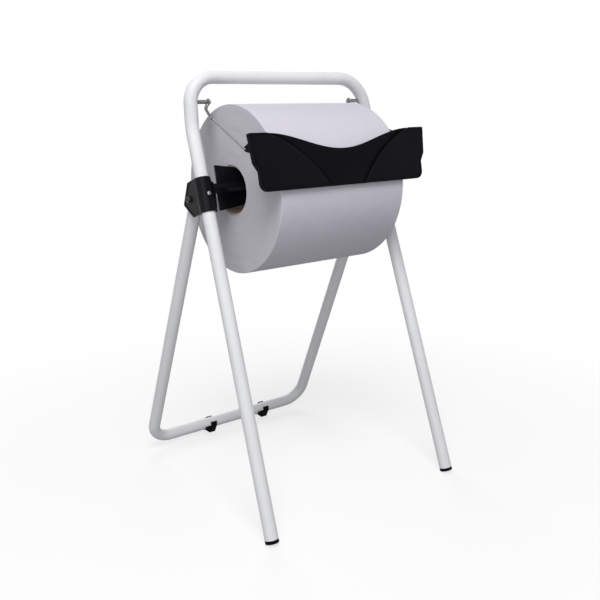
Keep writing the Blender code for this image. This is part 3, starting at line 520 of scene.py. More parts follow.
def powder_coat():
    material, surface, place = start_finish("white_powder_coat", {"Specular IOR Level": COAT_GLOSS})
    drift = use(DRIFT, place, Scale=9.0, Light=COAT_LIGHT, Dark=COAT_DARK)
    rubbed = use(RUBS, place, Scale=26.0)["Mask"]
    grain = use(GRAIN, place, Scale=900.0)
    finish_surface(surface, grain["Height"], COAT_PEEL, 0.5, {
        "Base Color": mix_colour(times(rubbed, COAT_RUB_GREY), drift["Colour"], COAT_RUBBED),
        "Roughness": plus(remap(grain["Mask"], 0, 1, COAT_SMOOTH, COAT_ROUGH),
                          times(rubbed, COAT_RUB_ROUGH))})
    return material


POWDER = powder_coat()

# %% [markdown]
# The brackets, holders and the tear plate are injection moulded in black plastic from a finely
# etched mould. The etch is a tiny even grain; edges and corners that get handled turn a little
# lighter. The feet use the same recipe with a rougher, softer look.

# %% Black plastic and rubber
# A lighter colour for real rub marks and for painted highlight, and a darker one for painted shade.
DUST_AND_SHEEN_LIFT, DUST_AND_SHEEN_GAIN, PAINTED_SHADE_DARKER = 0.006, 2, 6
RUB_GREY, RUB_ROUGH = 0.35, 0.12
SMOOTHER, ROUGHER = 0.05, 0.06


def moulded(name, light, dark, roughness, grain_scale, depth, gloss, shade=None):
    """Moulded black; shade, where given, makes masks of painted shade and painted highlight."""
    material, surface, place = start_finish(name, {"Specular IOR Level": gloss})
    drift = use(DRIFT, place, Scale=20.0, Light=light, Dark=dark)
    rubbed = use(RUBS, place, Scale=45.0)["Mask"]
    dust_and_sheen = tuple(c * DUST_AND_SHEEN_GAIN + DUST_AND_SHEEN_LIFT for c in light)
    colour = mix_colour(times(rubbed, RUB_GREY), drift["Colour"], dust_and_sheen)
    if shade:
        # Where shade is given, a painted highlight lightens some places and painted shade darkens others.
        hollow, painted_highlight = shade(place)
        colour = mix_colour(painted_highlight, colour, dust_and_sheen)
        colour = mix_colour(hollow, colour, tuple(c / PAINTED_SHADE_DARKER for c in dark))
    grain = use(GRAIN, place, Scale=grain_scale)
    rough = remap(grain["Mask"], 0, 1, roughness - SMOOTHER, roughness + ROUGHER)
    finish_surface(surface, grain["Height"], depth, 0.6, {
        "Base Color": colour, "Roughness": plus(rough, times(rubbed, RUB_ROUGH))})
    return material


PLASTIC = moulded("black_moulded_plastic", (0.0076, 0.0068, 0.0096), (0.0054, 0.0048, 0.0070),
                  roughness=0.27, grain_scale=2600.0, depth=0.00006, gloss=0.10)
RUBBER = moulded("black_rubber", (0.0045, 0.0045, 0.0052), (0.0030, 0.0030, 0.0034),
                 roughness=0.62, grain_scale=1800.0, depth=0.00012, gloss=0.03)

# %% [markdown]
# Three finishes of steel are seen: bright zinc on the small screws and nuts, a dull greenish zinc on
# the pins and the wires, and black oxide on the pivot bolts. One recipe makes them all. A slightly
# cloudy film changes the roughness more than the colour, which makes plating look like plating.

# %% Steel finishes
PLATING_GRAIN = 0.00003


def steel(name, light, dark, smoothest, roughest):
    material, surface, place = start_finish(name, {"Metallic": 1.0})
    drift = use(DRIFT, place, Scale=160.0, Light=light, Dark=dark)
    grain = use(GRAIN, place, Scale=3000.0)
    finish_surface(surface, grain["Height"], PLATING_GRAIN, 0.5, {
        "Base Color": drift["Colour"],
        "Roughness": remap(drift["Mask"], 0, 1, smoothest, roughest)})
    return material


ZINC = steel("zinc_plated_steel", (0.50, 0.51, 0.52), (0.34, 0.35, 0.36), 0.24, 0.40)
WIRE_STEEL = steel("dull_wire_steel", (0.27, 0.285, 0.282), (0.17, 0.18, 0.18), 0.30, 0.44)
BLACK_STEEL = steel("black_oxide_steel", (0.075, 0.074, 0.078), (0.040, 0.039, 0.042), 0.28, 0.42)

# %% [markdown]
# The roll is wound wiping paper. Its outer face is one sheet with a faint emboss of small dimples,
# and faint streaks round it from the winding. Its end faces are the edges of hundreds of layers: fine
# rings, whose tone changes a little where the winding was tighter. A group works the rings out from
# each point's distance from the roll's axis.

# %% Paper
ROLL_CENTRE = Vector((0, -0.027581, 0.52768))
ROLL_RADIUS, ROLL_HALF = 0.137, 0.127
SHEET_LIGHT, SHEET_DARK, SHEET_STREAK = (0.65, 0.63, 0.70), (0.62, 0.60, 0.67), (0.57, 0.55, 0.62)
END_LIGHT, END_DARK = (0.61, 0.59, 0.645), (0.535, 0.515, 0.57)
PAPER_GLOSS, PAPER_GRAIN = 0.08, 0.00022
END_FROM, END_TO = ROLL_HALF - 0.0008, ROLL_HALF - 0.0005
STREAK_SHARE, RING_TONE, LAYER_TONE = 0.22, 0.45, 0.35
DIMPLES, DIMPLE_SHARE, RING_HEIGHT, UNEVEN = 420.0, 0.5, 1.6, 0.012


def make_rings():
    """Rings on the roll's ends, streaks that run round its sheet, and a mask for the ends."""
    tree, given, out = new_group("wound_rings", {"Place": VECTOR}, {
        "Fine": FLOAT, "Broad": FLOAT, "Ends": FLOAT, "Streaks": FLOAT})
    split = separate(given["Place"])
    radius = axis_distance(maths("SUBTRACT", split["Y"], ROLL_CENTRE.y),
                           maths("SUBTRACT", split["Z"], ROLL_CENTRE.z))
    outwards = add_node("ShaderNodeCombineXYZ", {"X": radius})[0]
    uneven = add_node("ShaderNodeVectorMath", {0: given["Place"], "Scale": UNEVEN},
                      operation="SCALE")[0]
    total = add_node("ShaderNodeVectorMath", {0: outwards, 1: uneven}, operation="ADD")[0]
    along = add_node("ShaderNodeCombineXYZ", {"X": split["X"]})[0]
    from_middle = maths("ABSOLUTE", split["X"])
    feed(out, {"Fine": noise(total, 1400.0, 2), "Broad": noise(total, 120.0, 3),
               "Ends": remap(from_middle, END_FROM, END_TO),
               "Streaks": noise(along, 140.0, 4, 0.7)})
    return tree


def paper():
    material, surface, place = start_finish("wound_paper", {
        "Roughness": 0.92, "Specular IOR Level": PAPER_GLOSS})
    rings = use(make_rings(), place)
    drift = use(DRIFT, place, Scale=7.0, Light=SHEET_LIGHT, Dark=SHEET_DARK)
    streaks = remap(rings["Streaks"], NOISE_LOW, NOISE_HIGH, 0.0, STREAK_SHARE)
    sheet_colour = mix_colour(streaks, drift["Colour"], SHEET_STREAK)
    tone = plus(remap(rings["Fine"], NOISE_LOW, NOISE_HIGH, 0.0, RING_TONE),
                remap(rings["Broad"], NOISE_LOW, NOISE_HIGH, 0.0, LAYER_TONE))
    end_colour = mix_colour(tone, END_LIGHT, END_DARK)
    dimples = add_node("ShaderNodeTexVoronoi", {"Vector": place, "Scale": DIMPLES})["Distance"]
    fibre = use(GRAIN, place, Scale=1600.0)["Height"]
    sheet = plus(times(remap(dimples, 0.0, 0.5), DIMPLE_SHARE), fibre)
    edges = plus(times(rings["Fine"], RING_HEIGHT), fibre)
    height = add_node("ShaderNodeMix", {0: rings["Ends"], VALUE_A: sheet, VALUE_B: edges})[0]
    finish_surface(surface, height, PAPER_GRAIN, 0.6, {
        "Base Color": mix_colour(rings["Ends"], sheet_colour, end_colour)})
    return material


PAPER = paper()

# %% [markdown]
# The core is grey-brown board wound from strips at an angle, so it has a faint spiral seam. One wave
# texture, tilted against the axis, gives it.

# %% Cardboard
BOARD_LIGHT, BOARD_DARK, BOARD_SEAM = (0.58, 0.46, 0.40), (0.46, 0.36, 0.31), (0.26, 0.18, 0.14)
BOARD_GRAIN = 0.0002
SEAM_SCALE, SEAM_BEND, SEAM_WIDTH, SEAM_SHARE = 5.0, 0.4, 0.06, 0.5


def cardboard():
    material, surface, place = start_finish("brown_cardboard", {"Roughness": 0.9})
    drift = use(DRIFT, place, Scale=60.0, Light=BOARD_LIGHT, Dark=BOARD_DARK)
    wave = add_node("ShaderNodeTexWave", {
        "Vector": place, "Scale": SEAM_SCALE, "Distortion": SEAM_BEND}, bands_direction="DIAGONAL")["Fac"]
    seam = remap(wave, 0.0, SEAM_WIDTH, SEAM_SHARE, 0.0)
    fibre = use(GRAIN, place, Scale=1100.0)["Height"]
    finish_surface(surface, fibre, BOARD_GRAIN, 0.6, {
        "Base Color": mix_colour(seam, drift["Colour"], BOARD_SEAM)})
    return material


BOARD = cardboard()

# %% [markdown]
# Both frames are single bent tubes. A swept curve gives smooth bends. The corners are the crossing
# points of the centre line, and each has the radius of the former that shaped it. The handle's
# right bend is clearly wider than its left one.

# %% Front frame
TUBE = 0.011
TUBE_ROOM = TUBE + GAP
TUBE_STEPS = 14
BEND_STEP = 3
CAP_RADIUS = TUBE + 0.0002
CAP_HEEL, CAP_SKIRT = 0.0070, 0.0055
CAP_END = (CAP_RADIUS - CAP_HEEL) * tan(LEAN)
CAP_TOP = CAP_END + CAP_SKIRT
NECK_BEND = 0.075
HANDLE_BENDS = {-1: 0.042, 1: 0.062}
HANDLE_BACK, HANDLE_HEIGHT = NECK_BACK + 0.0025, 0.7071
HANDLE_LINE = FRONT_FEET + Vector((0, HANDLE_BACK, HANDLE_HEIGHT))


def front_foot(side):
    return FRONT_FEET + RIGHT * side * (HANDLE_HALF + SPLAY)


def front_path():
    ends = []
    for side, _ in SIDES:
        neck = FRONT_FEET + Vector((side * HANDLE_HALF, NECK_BACK, NECK_HEIGHT))
        ends.append([front_foot(side) + leg_direction(side) * (CAP_TOP + GAP), neck,
                     HANDLE_LINE + RIGHT * side * HANDLE_HALF])
    radii = (0, NECK_BEND, HANDLE_BENDS[-1], HANDLE_BENDS[1], NECK_BEND, 0)
    return rounded_path(ends[0] + ends[1][::-1], radii, step=BEND_STEP)


settle(swept("front_tube", front_path(), TUBE, TUBE_STEPS), "front_frame", "front_frame_tube",
       POWDER, "white_powder_coat", ROUND_SMOOTH)

# %% [markdown]
# The rear frame is a U of the same tube. Its crossbar lies near the floor, and its two open ends
# reach up into the brackets, a little past the pivots.

# %% Rear frame
BRACKET_ALONG = LEG_RUN - 0.1091
PIVOT_ALONG, PIVOT_BEHIND = BRACKET_ALONG + 0.002, 0.032
REAR_HALF = leg_x(PIVOT_ALONG) - 0.0024
REAR_BEND = 0.040
CROSSBAR = Vector((0, FRONT_FEET_Y + 0.434, 0.0206))
REAR_UP = (beside_leg(0, PIVOT_ALONG, PIVOT_BEHIND) - CROSSBAR).normalized()
TAIL = 0.012


def at_pivot(x):
    return beside_leg(x, PIVOT_ALONG, PIVOT_BEHIND)


def rear_path():
    ends = [[at_pivot(side * REAR_HALF) + REAR_UP * TAIL, CROSSBAR + RIGHT * side * REAR_HALF]
            for side, _ in SIDES]
    return rounded_path(ends[0] + ends[1][::-1], (0, REAR_BEND, REAR_BEND, 0), step=BEND_STEP)


settle(swept("rear_tube", rear_path(), TUBE, TUBE_STEPS), "rear_frame", "rear_frame_tube",
       POWDER, "white_powder_coat", ROUND_SMOOTH)

# %% [markdown]
# The plug in each open tube end is a small turned moulding with a chamfered head.

# %% Tube plugs
PLUG_SEAT = TAIL + GAP
PLUG_TOP, PLUG_SHOULDER, PLUG_LOW = PLUG_SEAT + 0.0012, PLUG_SEAT + 0.0007, PLUG_SEAT - 0.004
PLUG_CHAMFER, PLUG_ROUND, PLUG_BODY = 0.0014, 0.0004, 0.009
PLUG_PROFILE = [(0, PLUG_TOP), (TUBE - PLUG_CHAMFER, PLUG_TOP), (TUBE - PLUG_ROUND, PLUG_SHOULDER),
                (TUBE, PLUG_SEAT), (PLUG_BODY, PLUG_SEAT), (PLUG_BODY, PLUG_LOW), (0, PLUG_LOW)]


def tube_plug(side):
    return turned("plug", PLUG_PROFILE, axis_frame(at_pivot(side * REAR_HALF), REAR_UP))


settle_pairs((tube_plug, "rear_frame", "pivot_insert_", PLASTIC, "black_plastic", ROUND_SMOOTH))

# %% [markdown]
# The front legs end in moulded plugs, square to the leg, with a small level heel that stands on the
# floor. A turned profile with rounded rims is cut once by the floor plane, and that cut is the heel.

# %% Front caps
SPIGOT_RADIUS, SPIGOT_TOP = 0.0092, CAP_TOP + 0.012
CAP_RIM, CAP_CHAMFER = 0.0010, 0.0005
GROUND = 0.05


def front_cap(side):
    profile = [(0, SPIGOT_TOP), (SPIGOT_RADIUS, SPIGOT_TOP), (SPIGOT_RADIUS, CAP_TOP),
               (CAP_RADIUS - CAP_CHAMFER, CAP_TOP), (CAP_RADIUS, CAP_TOP - CAP_CHAMFER)]
    profile += [(CAP_RADIUS + CAP_RIM * (cos(t) - 1), CAP_END + CAP_RIM * (1 - sin(t)))
                for t in arc_angles(0, 90, 18)] + [(0, CAP_END)]
    foot = front_foot(side)
    cap = turned("cap", profile, axis_frame(foot, leg_direction(side)), 96)
    return cut(cap, rod("ground", GROUND, foot - UP * GROUND, foot, 16))


settle_pairs((front_cap, "front_frame", "front_foot_cap_", RUBBER, "black_rubber", ROUND_SMOOTH))

# %% [markdown]
# Each rear foot is a springy clip: an open ring pressed on the crossbar, a wedge under it that
# stands on the floor, and a tapered wing with a fin to the left that keeps it from turning.

# %% Rear clip feet
CLIP_OUTER = TUBE_ROOM + 0.0022
CLIP_WIDTH, CLIP_LIP, CLIP_END = 0.013, 25, -230
SOLE_HALF = 0.004
SOLE_WIDTH = CLIP_WIDTH - WELD
WING_REACH, WING_TIP, WING_TOP = 0.0195, TUBE_ROOM + 0.00055, 0.0022
FIN_WIDTH, FIN_REACH, FIN_FOOT = 0.006, 0.0173, 0.0065
CLIP_EDGE = 0.0005
CLIP_BORE = 0.03
CLIP_PLACES = ((-0.047, "left"), (0.085, "right"))


def clip_foot(x):
    place = CROSSBAR + RIGHT * x
    floor = -CROSSBAR.z
    plane = plane_frame(place, -BACK, UP)
    ring = [(r * cos(t), r * sin(t))
            for r, angles in ((CLIP_OUTER, arc_angles(CLIP_LIP, CLIP_END)),
                              (TUBE, arc_angles(CLIP_END, CLIP_LIP))) for t in angles]
    lip = radians(CLIP_LIP)
    across, low = CLIP_OUTER * cos(lip), -CLIP_OUTER * sin(lip)
    sole = [(-SOLE_HALF, floor), (SOLE_HALF, floor), (across, low), (-across, low)]
    wing = rod("wing", CLIP_OUTER, place, place - RIGHT * WING_REACH, 48, WING_TIP)
    above = rod("above", GROUND, place - UP * WING_TOP, place + UP * GROUND, 16)
    fin = slab("fin", [(0, floor), (0, -TUBE_ROOM), (-FIN_REACH, -TUBE_ROOM), (-FIN_FOOT, floor)],
               FIN_WIDTH, plane_frame(place, RIGHT, UP))
    foot = join(slab("clip", ring, CLIP_WIDTH, plane), slab("block", sole, SOLE_WIDTH, plane),
                cut(wing, above), fin)
    bore = rod("bore", TUBE_ROOM, place - RIGHT * CLIP_BORE, place + RIGHT * CLIP_BORE, 48)
    return soften(cut(foot, bore), CLIP_EDGE, 2, 45)


for x, word in CLIP_PLACES:
    settle(clip_foot(x), "rear_frame", "rear_clip_foot_" + word, RUBBER, "black_rubber",
           ROUND_SMOOTH)

# %% [markdown]
# The hinge bracket is the heart of the stand: one moulding, with a sleeve round the leaning front
# leg and two cheeks behind it that hold the rear leg's end. Its outer cheek has a sunk panel inside
# a narrow rim. A slab with the sleeve joined on is cut by the pocket, the panel and the bores, in
# the order in which a mould maker would think of them.

# %% Hinge brackets
CHEEK, RIM_WIDTH, RIM_HEIGHT = 0.0026, 0.0026, 0.001
OUTER_FACE = REAR_HALF + TUBE_ROOM + CHEEK + RIM_HEIGHT
INNER_FACE = REAR_HALF - TUBE_ROOM - CHEEK
BRACKET_WIDTH, BRACKET_MIDDLE = OUTER_FACE - INNER_FACE, (OUTER_FACE + INNER_FACE) / 2
WRAP = TUBE_ROOM + 0.0018
POCKET_FRONT = TUBE_ROOM + 0.0033
BRACKET_TOP, BRACKET_CORNER = 0.028, 0.005
LOW_REAR, TOP_REAR, TIP_REAR, TIP_LOW, TIP_TOP = 0.029, 0.026, 0.0505, -0.004, -0.001
MOULD_EDGE, FINE_EDGE = 0.0007, 0.0004
BOLT_HOLE, HOLE_FROM, HOLE_TO = 0.0033, 0.16, 0.21
POCKET_REAR, POCKET_UP = 0.1, 0.06


def bracket_outline(shrink=0.0):
    corners = [(0, BRACKET_TOP), (0, -BRACKET_TOP), (LOW_REAR, -BRACKET_TOP), (TIP_REAR, TIP_LOW),
               (TIP_REAR, TIP_TOP), (TOP_REAR, BRACKET_TOP)]
    corner = max(BRACKET_CORNER - shrink, 0)
    return flat_path(inset(corners, shrink), (0, 0, corner, 0, 0, corner))


def hinge_bracket(side):
    def plane(x):
        return side_frame(side * x, BRACKET_ALONG, 0)

    body = slab("bracket", bracket_outline(), BRACKET_WIDTH, plane(BRACKET_MIDDLE))
    centre = beside_leg(side * leg_x(BRACKET_ALONG), BRACKET_ALONG, 0)
    half = leg_direction(side) * BRACKET_TOP
    wrap = soften(rod("wrap", WRAP, centre - half, centre + half, 96), MOULD_EDGE)
    pocket = slab("pocket", [(POCKET_FRONT, -POCKET_UP), (POCKET_REAR, -POCKET_UP),
                             (POCKET_REAR, POCKET_UP), (POCKET_FRONT, POCKET_UP)],
                  2 * TUBE_ROOM, plane(REAR_HALF))
    panel = slab("panel", [(max(a, WRAP), b) for a, b in bracket_outline(RIM_WIDTH)],
                 2 * RIM_HEIGHT, plane(OUTER_FACE))
    body = join(soften(body, MOULD_EDGE), wrap)
    body = soften(cut(body, pocket, panel), FINE_EDGE, 2, 50)
    bore = rod("bore", TUBE_ROOM, centre - half * 2, centre + half * 2, 96)
    return cut(body, bore, rod("hole", BOLT_HOLE, at_pivot(side * HOLE_FROM), at_pivot(side * HOLE_TO)))


settle_pairs((hinge_bracket, "front_frame", "hinge_bracket_", PLASTIC, "black_plastic"))

# %% [markdown]
# The core holder enters the roll's cardboard core. Four thin ribs on a hollow hub share one cone, so
# the core centres itself as it is pushed on. Its flange lies on the bracket's inner cheek and is
# held by the pivot bolt and one small screw.

# %% Core holders
HOLDER_ALONG, HOLDER_BEHIND = BRACKET_ALONG + 0.0112, 0.0090
SCREW_ALONG, SCREW_BEHIND = BRACKET_ALONG - 0.016, 0.0103
FLANGE, FLANGE_HUB, FLANGE_EAR, FLANGE_EDGE = 0.003, 0.0125, 0.0078, 0.0006
FLANGE_X = INNER_FACE - GAP - FLANGE / 2
RIB_OUTER = INNER_FACE - 0.0135
RIB_INNER = RIB_OUTER - 0.0582
RIB_THIN, RIB_WIDE, RIB_THICKNESS = 0.0285, 0.037, 0.0036
RIB_ROOT, RIB_LEAD, RIB_RAKE = 0.0069, 0.007, 0.0037
RIB_CORNER, RIB_LEAD_CORNER, RIB_EDGE = 0.001, 0.004, 0.0005
HUB, HUB_BORE, BORE_PAST, BORE_END = 0.00825, 0.0055, 0.004, 0.161


def rib_radius(x):
    return RIB_THIN + (RIB_WIDE - RIB_THIN) * (x - RIB_INNER) / (RIB_OUTER - RIB_INNER)


def rib_outline(side, rake):
    outer, lead = RIB_OUTER + rake, RIB_INNER + RIB_LEAD
    corners = [(RIB_OUTER, RIB_ROOT), (outer, rib_radius(outer)), (lead, rib_radius(lead)),
               (RIB_INNER, rib_radius(RIB_INNER) - RIB_LEAD), (RIB_INNER, RIB_ROOT)]
    return flat_path([(side * a, b) for a, b in corners],
                     (0, RIB_CORNER, RIB_LEAD_CORNER, RIB_LEAD_CORNER, 0))


def core_holder(side):
    centre = beside_leg(0, HOLDER_ALONG, HOLDER_BEHIND)
    ears = [(behind - HOLDER_BEHIND, along - HOLDER_ALONG, FLANGE_EAR)
            for behind, along in ((PIVOT_BEHIND, PIVOT_ALONG), (SCREW_BEHIND, SCREW_ALONG))]
    flange = slab("flange", band_round([(0, 0, FLANGE_HUB), *ears]), FLANGE,
                  side_frame(side * FLANGE_X, HOLDER_ALONG, HOLDER_BEHIND))
    inner = centre + RIGHT * side * RIB_INNER
    parts = [rod("hub", HUB, centre + RIGHT * side * FLANGE_X, inner, 64)]
    for i, rake in enumerate((RIB_RAKE, 0, -RIB_RAKE, 0)):
        angle = pi / 2 * i
        up = Vector((0, sin(angle), cos(angle)))
        rib = slab("rib", rib_outline(side, rake), RIB_THICKNESS, plane_frame(centre, RIGHT, up))
        parts.append(soften(rib, RIB_EDGE, 2))
    body = join(soften(flange, FLANGE_EDGE), *parts)
    bore = rod("bore", HUB_BORE, inner - RIGHT * side * BORE_PAST, centre + RIGHT * side * BORE_END, 48)
    return soften(cut(body, bore), RIB_EDGE, 2, 60)


settle_pairs((core_holder, "front_frame", "core_holder_", PLASTIC, "black_plastic"))

# %% [markdown]
# Small hardware is turned on an axis and then cut where a tool grips it, as at the hexagon socket
# in the pivot bolt. A rounded crown catches a bright point of light, by which a head is seen.

# %% Pivot bolts, washers and nuts
WASHER, WASHER_RADIUS, WASHER_ROUND, WASHER_LOW = 0.001, 0.006, 0.0003, 0.0002
OUTER_WASHER = OUTER_FACE - RIM_HEIGHT + GAP
HEAD_FACE = OUTER_WASHER + WASHER + GAP
INNER_WASHER = INNER_FACE - GAP - FLANGE - GAP
NUT_FACE = INNER_WASHER - WASHER - GAP
CROWN_SHARE = 0.62
BOLT_HEAD, BOLT_RIM, BOLT_CROWN, BOLT_SHANK = 0.00525, 0.0009, 0.0032, 0.003
BOLT_CHAMFER, BOLT_END = 0.0004, 0.0062
SOCKET, SOCKET_FLOOR, SOCKET_PAST = 0.002, 0.0016, 0.006
NUT, NUT_RADIUS, NUT_PAST = 0.005, 0.00577, 0.004
NUT_CHAMFER = (0.0050, 0.00585, 0.0005)


def crown(radius, low, high):
    """The rounded top of a head, from its middle out to its rim."""
    flat, fall = radius * CROWN_SHARE, radius * (1 - CROWN_SHARE)
    return [(0, high)] + [(flat + fall * cos(t), low + (high - low) * sin(t))
                          for t in arc_angles(90, 0, 11.25)]


def pivot_bolt(side):
    head = at_pivot(side * HEAD_FACE)
    out = RIGHT * side
    end = NUT_FACE - HEAD_FACE - BOLT_END
    profile = crown(BOLT_HEAD, BOLT_RIM, BOLT_CROWN) + [
        (BOLT_HEAD, 0), (BOLT_SHANK, 0), (BOLT_SHANK, end + BOLT_CHAMFER),
        (BOLT_SHANK - BOLT_CHAMFER, end), (0, end)]
    bolt = turned("bolt", profile, axis_frame(head, out))
    return cut(bolt, rod("socket", SOCKET, head + out * SOCKET_FLOOR, head + out * SOCKET_PAST, 6))


def washer(x, away):
    """A washer that lies at x and faces away from the leg."""
    profile = [(BOLT_HOLE, WASHER), (WASHER_RADIUS - WASHER_ROUND, WASHER),
               (WASHER_RADIUS, WASHER - WASHER_ROUND), (WASHER_RADIUS, WASHER_LOW),
               (WASHER_RADIUS - WASHER_LOW, 0), (BOLT_HOLE, 0)]
    return turned("washer", profile, axis_frame(at_pivot(x), RIGHT * away), closed=True)


def pivot_nut(side):
    outer = at_pivot(side * NUT_FACE)
    inner = outer - RIGHT * side * NUT
    flat, rim, slope = NUT_CHAMFER
    chamfer = mirrored([(0, NUT / 2), (flat, NUT / 2), (rim, NUT / 2 - slope)])
    envelope = turned("envelope", chamfer, axis_frame((outer + inner) / 2, RIGHT))
    nut = combine(rod("nut", NUT_RADIUS, outer, inner, 6), [envelope], "INTERSECT")
    past = RIGHT * side * NUT_PAST
    return cut(nut, rod("bore", BOLT_HOLE, outer + past, inner - past))


def outer_washer(side):
    return washer(side * OUTER_WASHER, side)


def inner_washer(side):
    return washer(side * INNER_WASHER, -side)


settle_pairs((pivot_bolt, "front_frame", "pivot_bolt_", BLACK_STEEL, "black_steel"),
             (pivot_nut, "front_frame", "pivot_nut_", ZINC, "zinc_steel"),
             (outer_washer, "front_frame", "outer_washer_", BLACK_STEEL, "black_steel"),
             (inner_washer, "front_frame", "inner_washer_", ZINC, "zinc_steel"))

# %% [markdown]
# The small screws have pan heads with a cross recess. One screw goes through the sleeve into the
# front leg and holds the bracket in its place; the other keeps the core holder from turning.

# %% Pan-head screws
SCREW, SCREW_HEAD, SCREW_RIM, SCREW_CROWN = 0.00175, 0.0033, GAP + 0.0006, GAP + 0.0022
RECESS_HALF, RECESS_THIN, RECESS_DEPTH = 0.0020, 0.00035, 0.0022
LEG_SCREW, HOLDER_SCREW = 0.0065, 0.0085


def pan_screw(place, length):
    profile = crown(SCREW_HEAD, SCREW_RIM, SCREW_CROWN) + [
        (SCREW_HEAD, GAP), (SCREW, GAP), (SCREW, SCREW - length), (0, -length)]
    screw = turned("screw", profile, place)
    lift = place @ Matrix.Translation(UP * SCREW_CROWN)
    blade = mirrored([(-RECESS_HALF, -RECESS_THIN), (RECESS_HALF, -RECESS_THIN)])
    blades = [slab("slot", blade, RECESS_DEPTH, lift @ Matrix.Rotation(turn, 4, "Z"))
              for turn in (0, pi / 2)]
    return cut(screw, *blades)


def leg_screw(side):
    front = beside_leg(side * leg_x(BRACKET_ALONG), BRACKET_ALONG, -WRAP)
    return pan_screw(axis_frame(front, -LEG_BACK), LEG_SCREW)


def holder_screw(side):
    seat = beside_leg(side * (INNER_FACE - GAP - FLANGE), SCREW_ALONG, SCREW_BEHIND)
    return pan_screw(axis_frame(seat, -RIGHT * side), HOLDER_SCREW)


settle_pairs((leg_screw, "front_frame", "leg_screw_", ZINC, "zinc_steel"),
             (holder_screw, "front_frame", "holder_screw_", ZINC, "zinc_steel"))

# %% [markdown]
# The roll and its core are turned profiles. The roll's rim is slightly rounded, as soft paper always
# is, and its end faces are not quite flat: here and there a few layers stand out by a fraction of a
# millimetre, which gives the faint circles seen on any real roll.

# %% Paper roll and core
CORE_BORE, CORE_WALL, CORE_HALF = 0.0381, 0.0025, ROLL_HALF - 0.002
CORE_CHAMFER, CORE_OUTER_ROUND = 0.0004, 0.0003
ROLL_RIM, ROLL_FACE, WAVE_DEPTH = 0.0012, ROLL_HALF - 0.0003, 0.00005
FACE_RINGS, FACE_WAVES = 46, ((1.9, 0.0), (0.61, 1.0))


def roll_profile():
    inner, outer = CORE_BORE + CORE_WALL + GAP, ROLL_RADIUS - ROLL_RIM
    half = []
    for i in range(FACE_RINGS + 1):
        wave = WAVE_DEPTH * sum(sin(i * pace + shift) for pace, shift in FACE_WAVES)
        half.append((inner + (outer - inner) * i / FACE_RINGS, ROLL_FACE + wave))
    half += [(outer + ROLL_RIM * sin(t), ROLL_FACE - ROLL_RIM + ROLL_RIM * cos(t))
             for t in arc_angles(10, 90, 16)]
    return mirrored(half)


def core_profile():
    outer = CORE_BORE + CORE_WALL
    return mirrored([(CORE_BORE, CORE_HALF - CORE_CHAMFER), (CORE_BORE + CORE_CHAMFER, CORE_HALF),
                     (outer - CORE_OUTER_ROUND, CORE_HALF), (outer, CORE_HALF - CORE_CHAMFER)])


for name, profile, steps, node, material, slot in (
        ("roll", roll_profile(), 192, "paper_roll", PAPER, "paper"),
        ("core", core_profile(), 128, "cardboard_core", BOARD, "cardboard")):
    wound = turned(name, profile, axis_frame(ROLL_CENTRE, RIGHT), steps, closed=True)
    settle(wound, "roll", node, material, slot)

# %% [markdown]
# The tear-off plate lies against the roll by its own weight, and the paper is torn against its lower
# edge. Its top edge is a slow wave. Two side panels stand proud; between them the surface slopes in,
# deepest at the top. All outlines come from one function that can also move the outline inwards, so
# the border line keeps an even distance from the edge.

# %% The plate's outlines
PLATE_TILT, PLATE_MIDDLE = radians(10.2), 0.0235
THICK, SKIN = 0.006, 0.0025
TOP_HALF, TOP, DIP, BOTTOM, WAVE_HALF = 0.1785, 0.0475, 0.0197, -0.0385, 0.147
PLATE_SIDE = [(0.1668, BOTTOM), (0.1668, -0.009), (0.1748, 0.004), (TOP_HALF, TOP)]
LOW_CORNER, STEP_CORNER, TOP_CORNER, LEAST_CORNER = 0.013, 0.006, 0.0025, 0.0004
WAVE_STEPS, PANEL_STEPS = 72, 40
PANEL_START, PANEL_FROM, PANEL_TURN, ARC = 0.0355, 56, 46, 0.225
ARC_CENTRE = Vector((PANEL_START + ARC * sin(radians(PANEL_FROM)),
                     BOTTOM - ARC * cos(radians(PANEL_FROM))))
PLATE_UP = Vector((0, sin(PLATE_TILT), cos(PLATE_TILT)))
PLATE_OUT = Vector((0, -cos(PLATE_TILT), sin(PLATE_TILT)))
PLATE = plane_frame(ROLL_CENTRE + PLATE_OUT * (ROLL_RADIUS + GAP) + PLATE_UP * PLATE_MIDDLE,
                    RIGHT, PLATE_UP)


def wave_height(x):
    return DIP + (TOP - DIP) * (1 - cos(pi * min(abs(x) / WAVE_HALF, 1))) / 2


def plate_outline(shrink=0.0):
    radii = [max(LOW_CORNER - shrink, LEAST_CORNER), STEP_CORNER + shrink,
             max(STEP_CORNER - shrink, LEAST_CORNER), max(TOP_CORNER - shrink, LEAST_CORNER)]
    wave = [WAVE_HALF * (1 - 2 * i / WAVE_STEPS) for i in range(WAVE_STEPS + 1)]
    corners = PLATE_SIDE + [(x, wave_height(x)) for x in wave]
    corners += [(-a, b) for a, b in reversed(PLATE_SIDE)]
    return flat_path(inset(corners, shrink), radii + [0] * len(wave) + radii[::-1], 8)


def panel_edge(offset=0.0):
    angles = [radians(PANEL_FROM - PANEL_TURN * i / PANEL_STEPS) for i in range(PANEL_STEPS + 1)]
    return [(ARC_CENTRE.x + offset - ARC * sin(a), ARC_CENTRE.y + ARC * cos(a))
            for a in angles]


print("plate", round(2 * TOP_HALF * 1000), "mm wide and", round((TOP - BOTTOM) * 1000), "mm high")

# %% [markdown]
# The hollow middle gets painted shade, a little darker than the panels and most of all along the foot
# of their curved steps, and the steps' rims get a painted highlight. Two masks find both from each
# point's distance to the centre of the panels' arcs.

# %% The plate's finish
# Where the plate's painted shade and painted highlight start and fade, and how strong they are.
STEP_FROM, MIDDLE_TO, FOOT_TO, RIM_TO = -0.0002, 0.0004, 0.0003, 0.0002
FOOT_FADE, RIM_FADE = (0.0042, 0.0066), (-0.0016, -0.0010)
MIDDLE_PAINTED_SHADE, FOOT_PAINTED_SHADE, RIM_PAINTED_HIGHLIGHT = 0.40, 0.60, 0.4


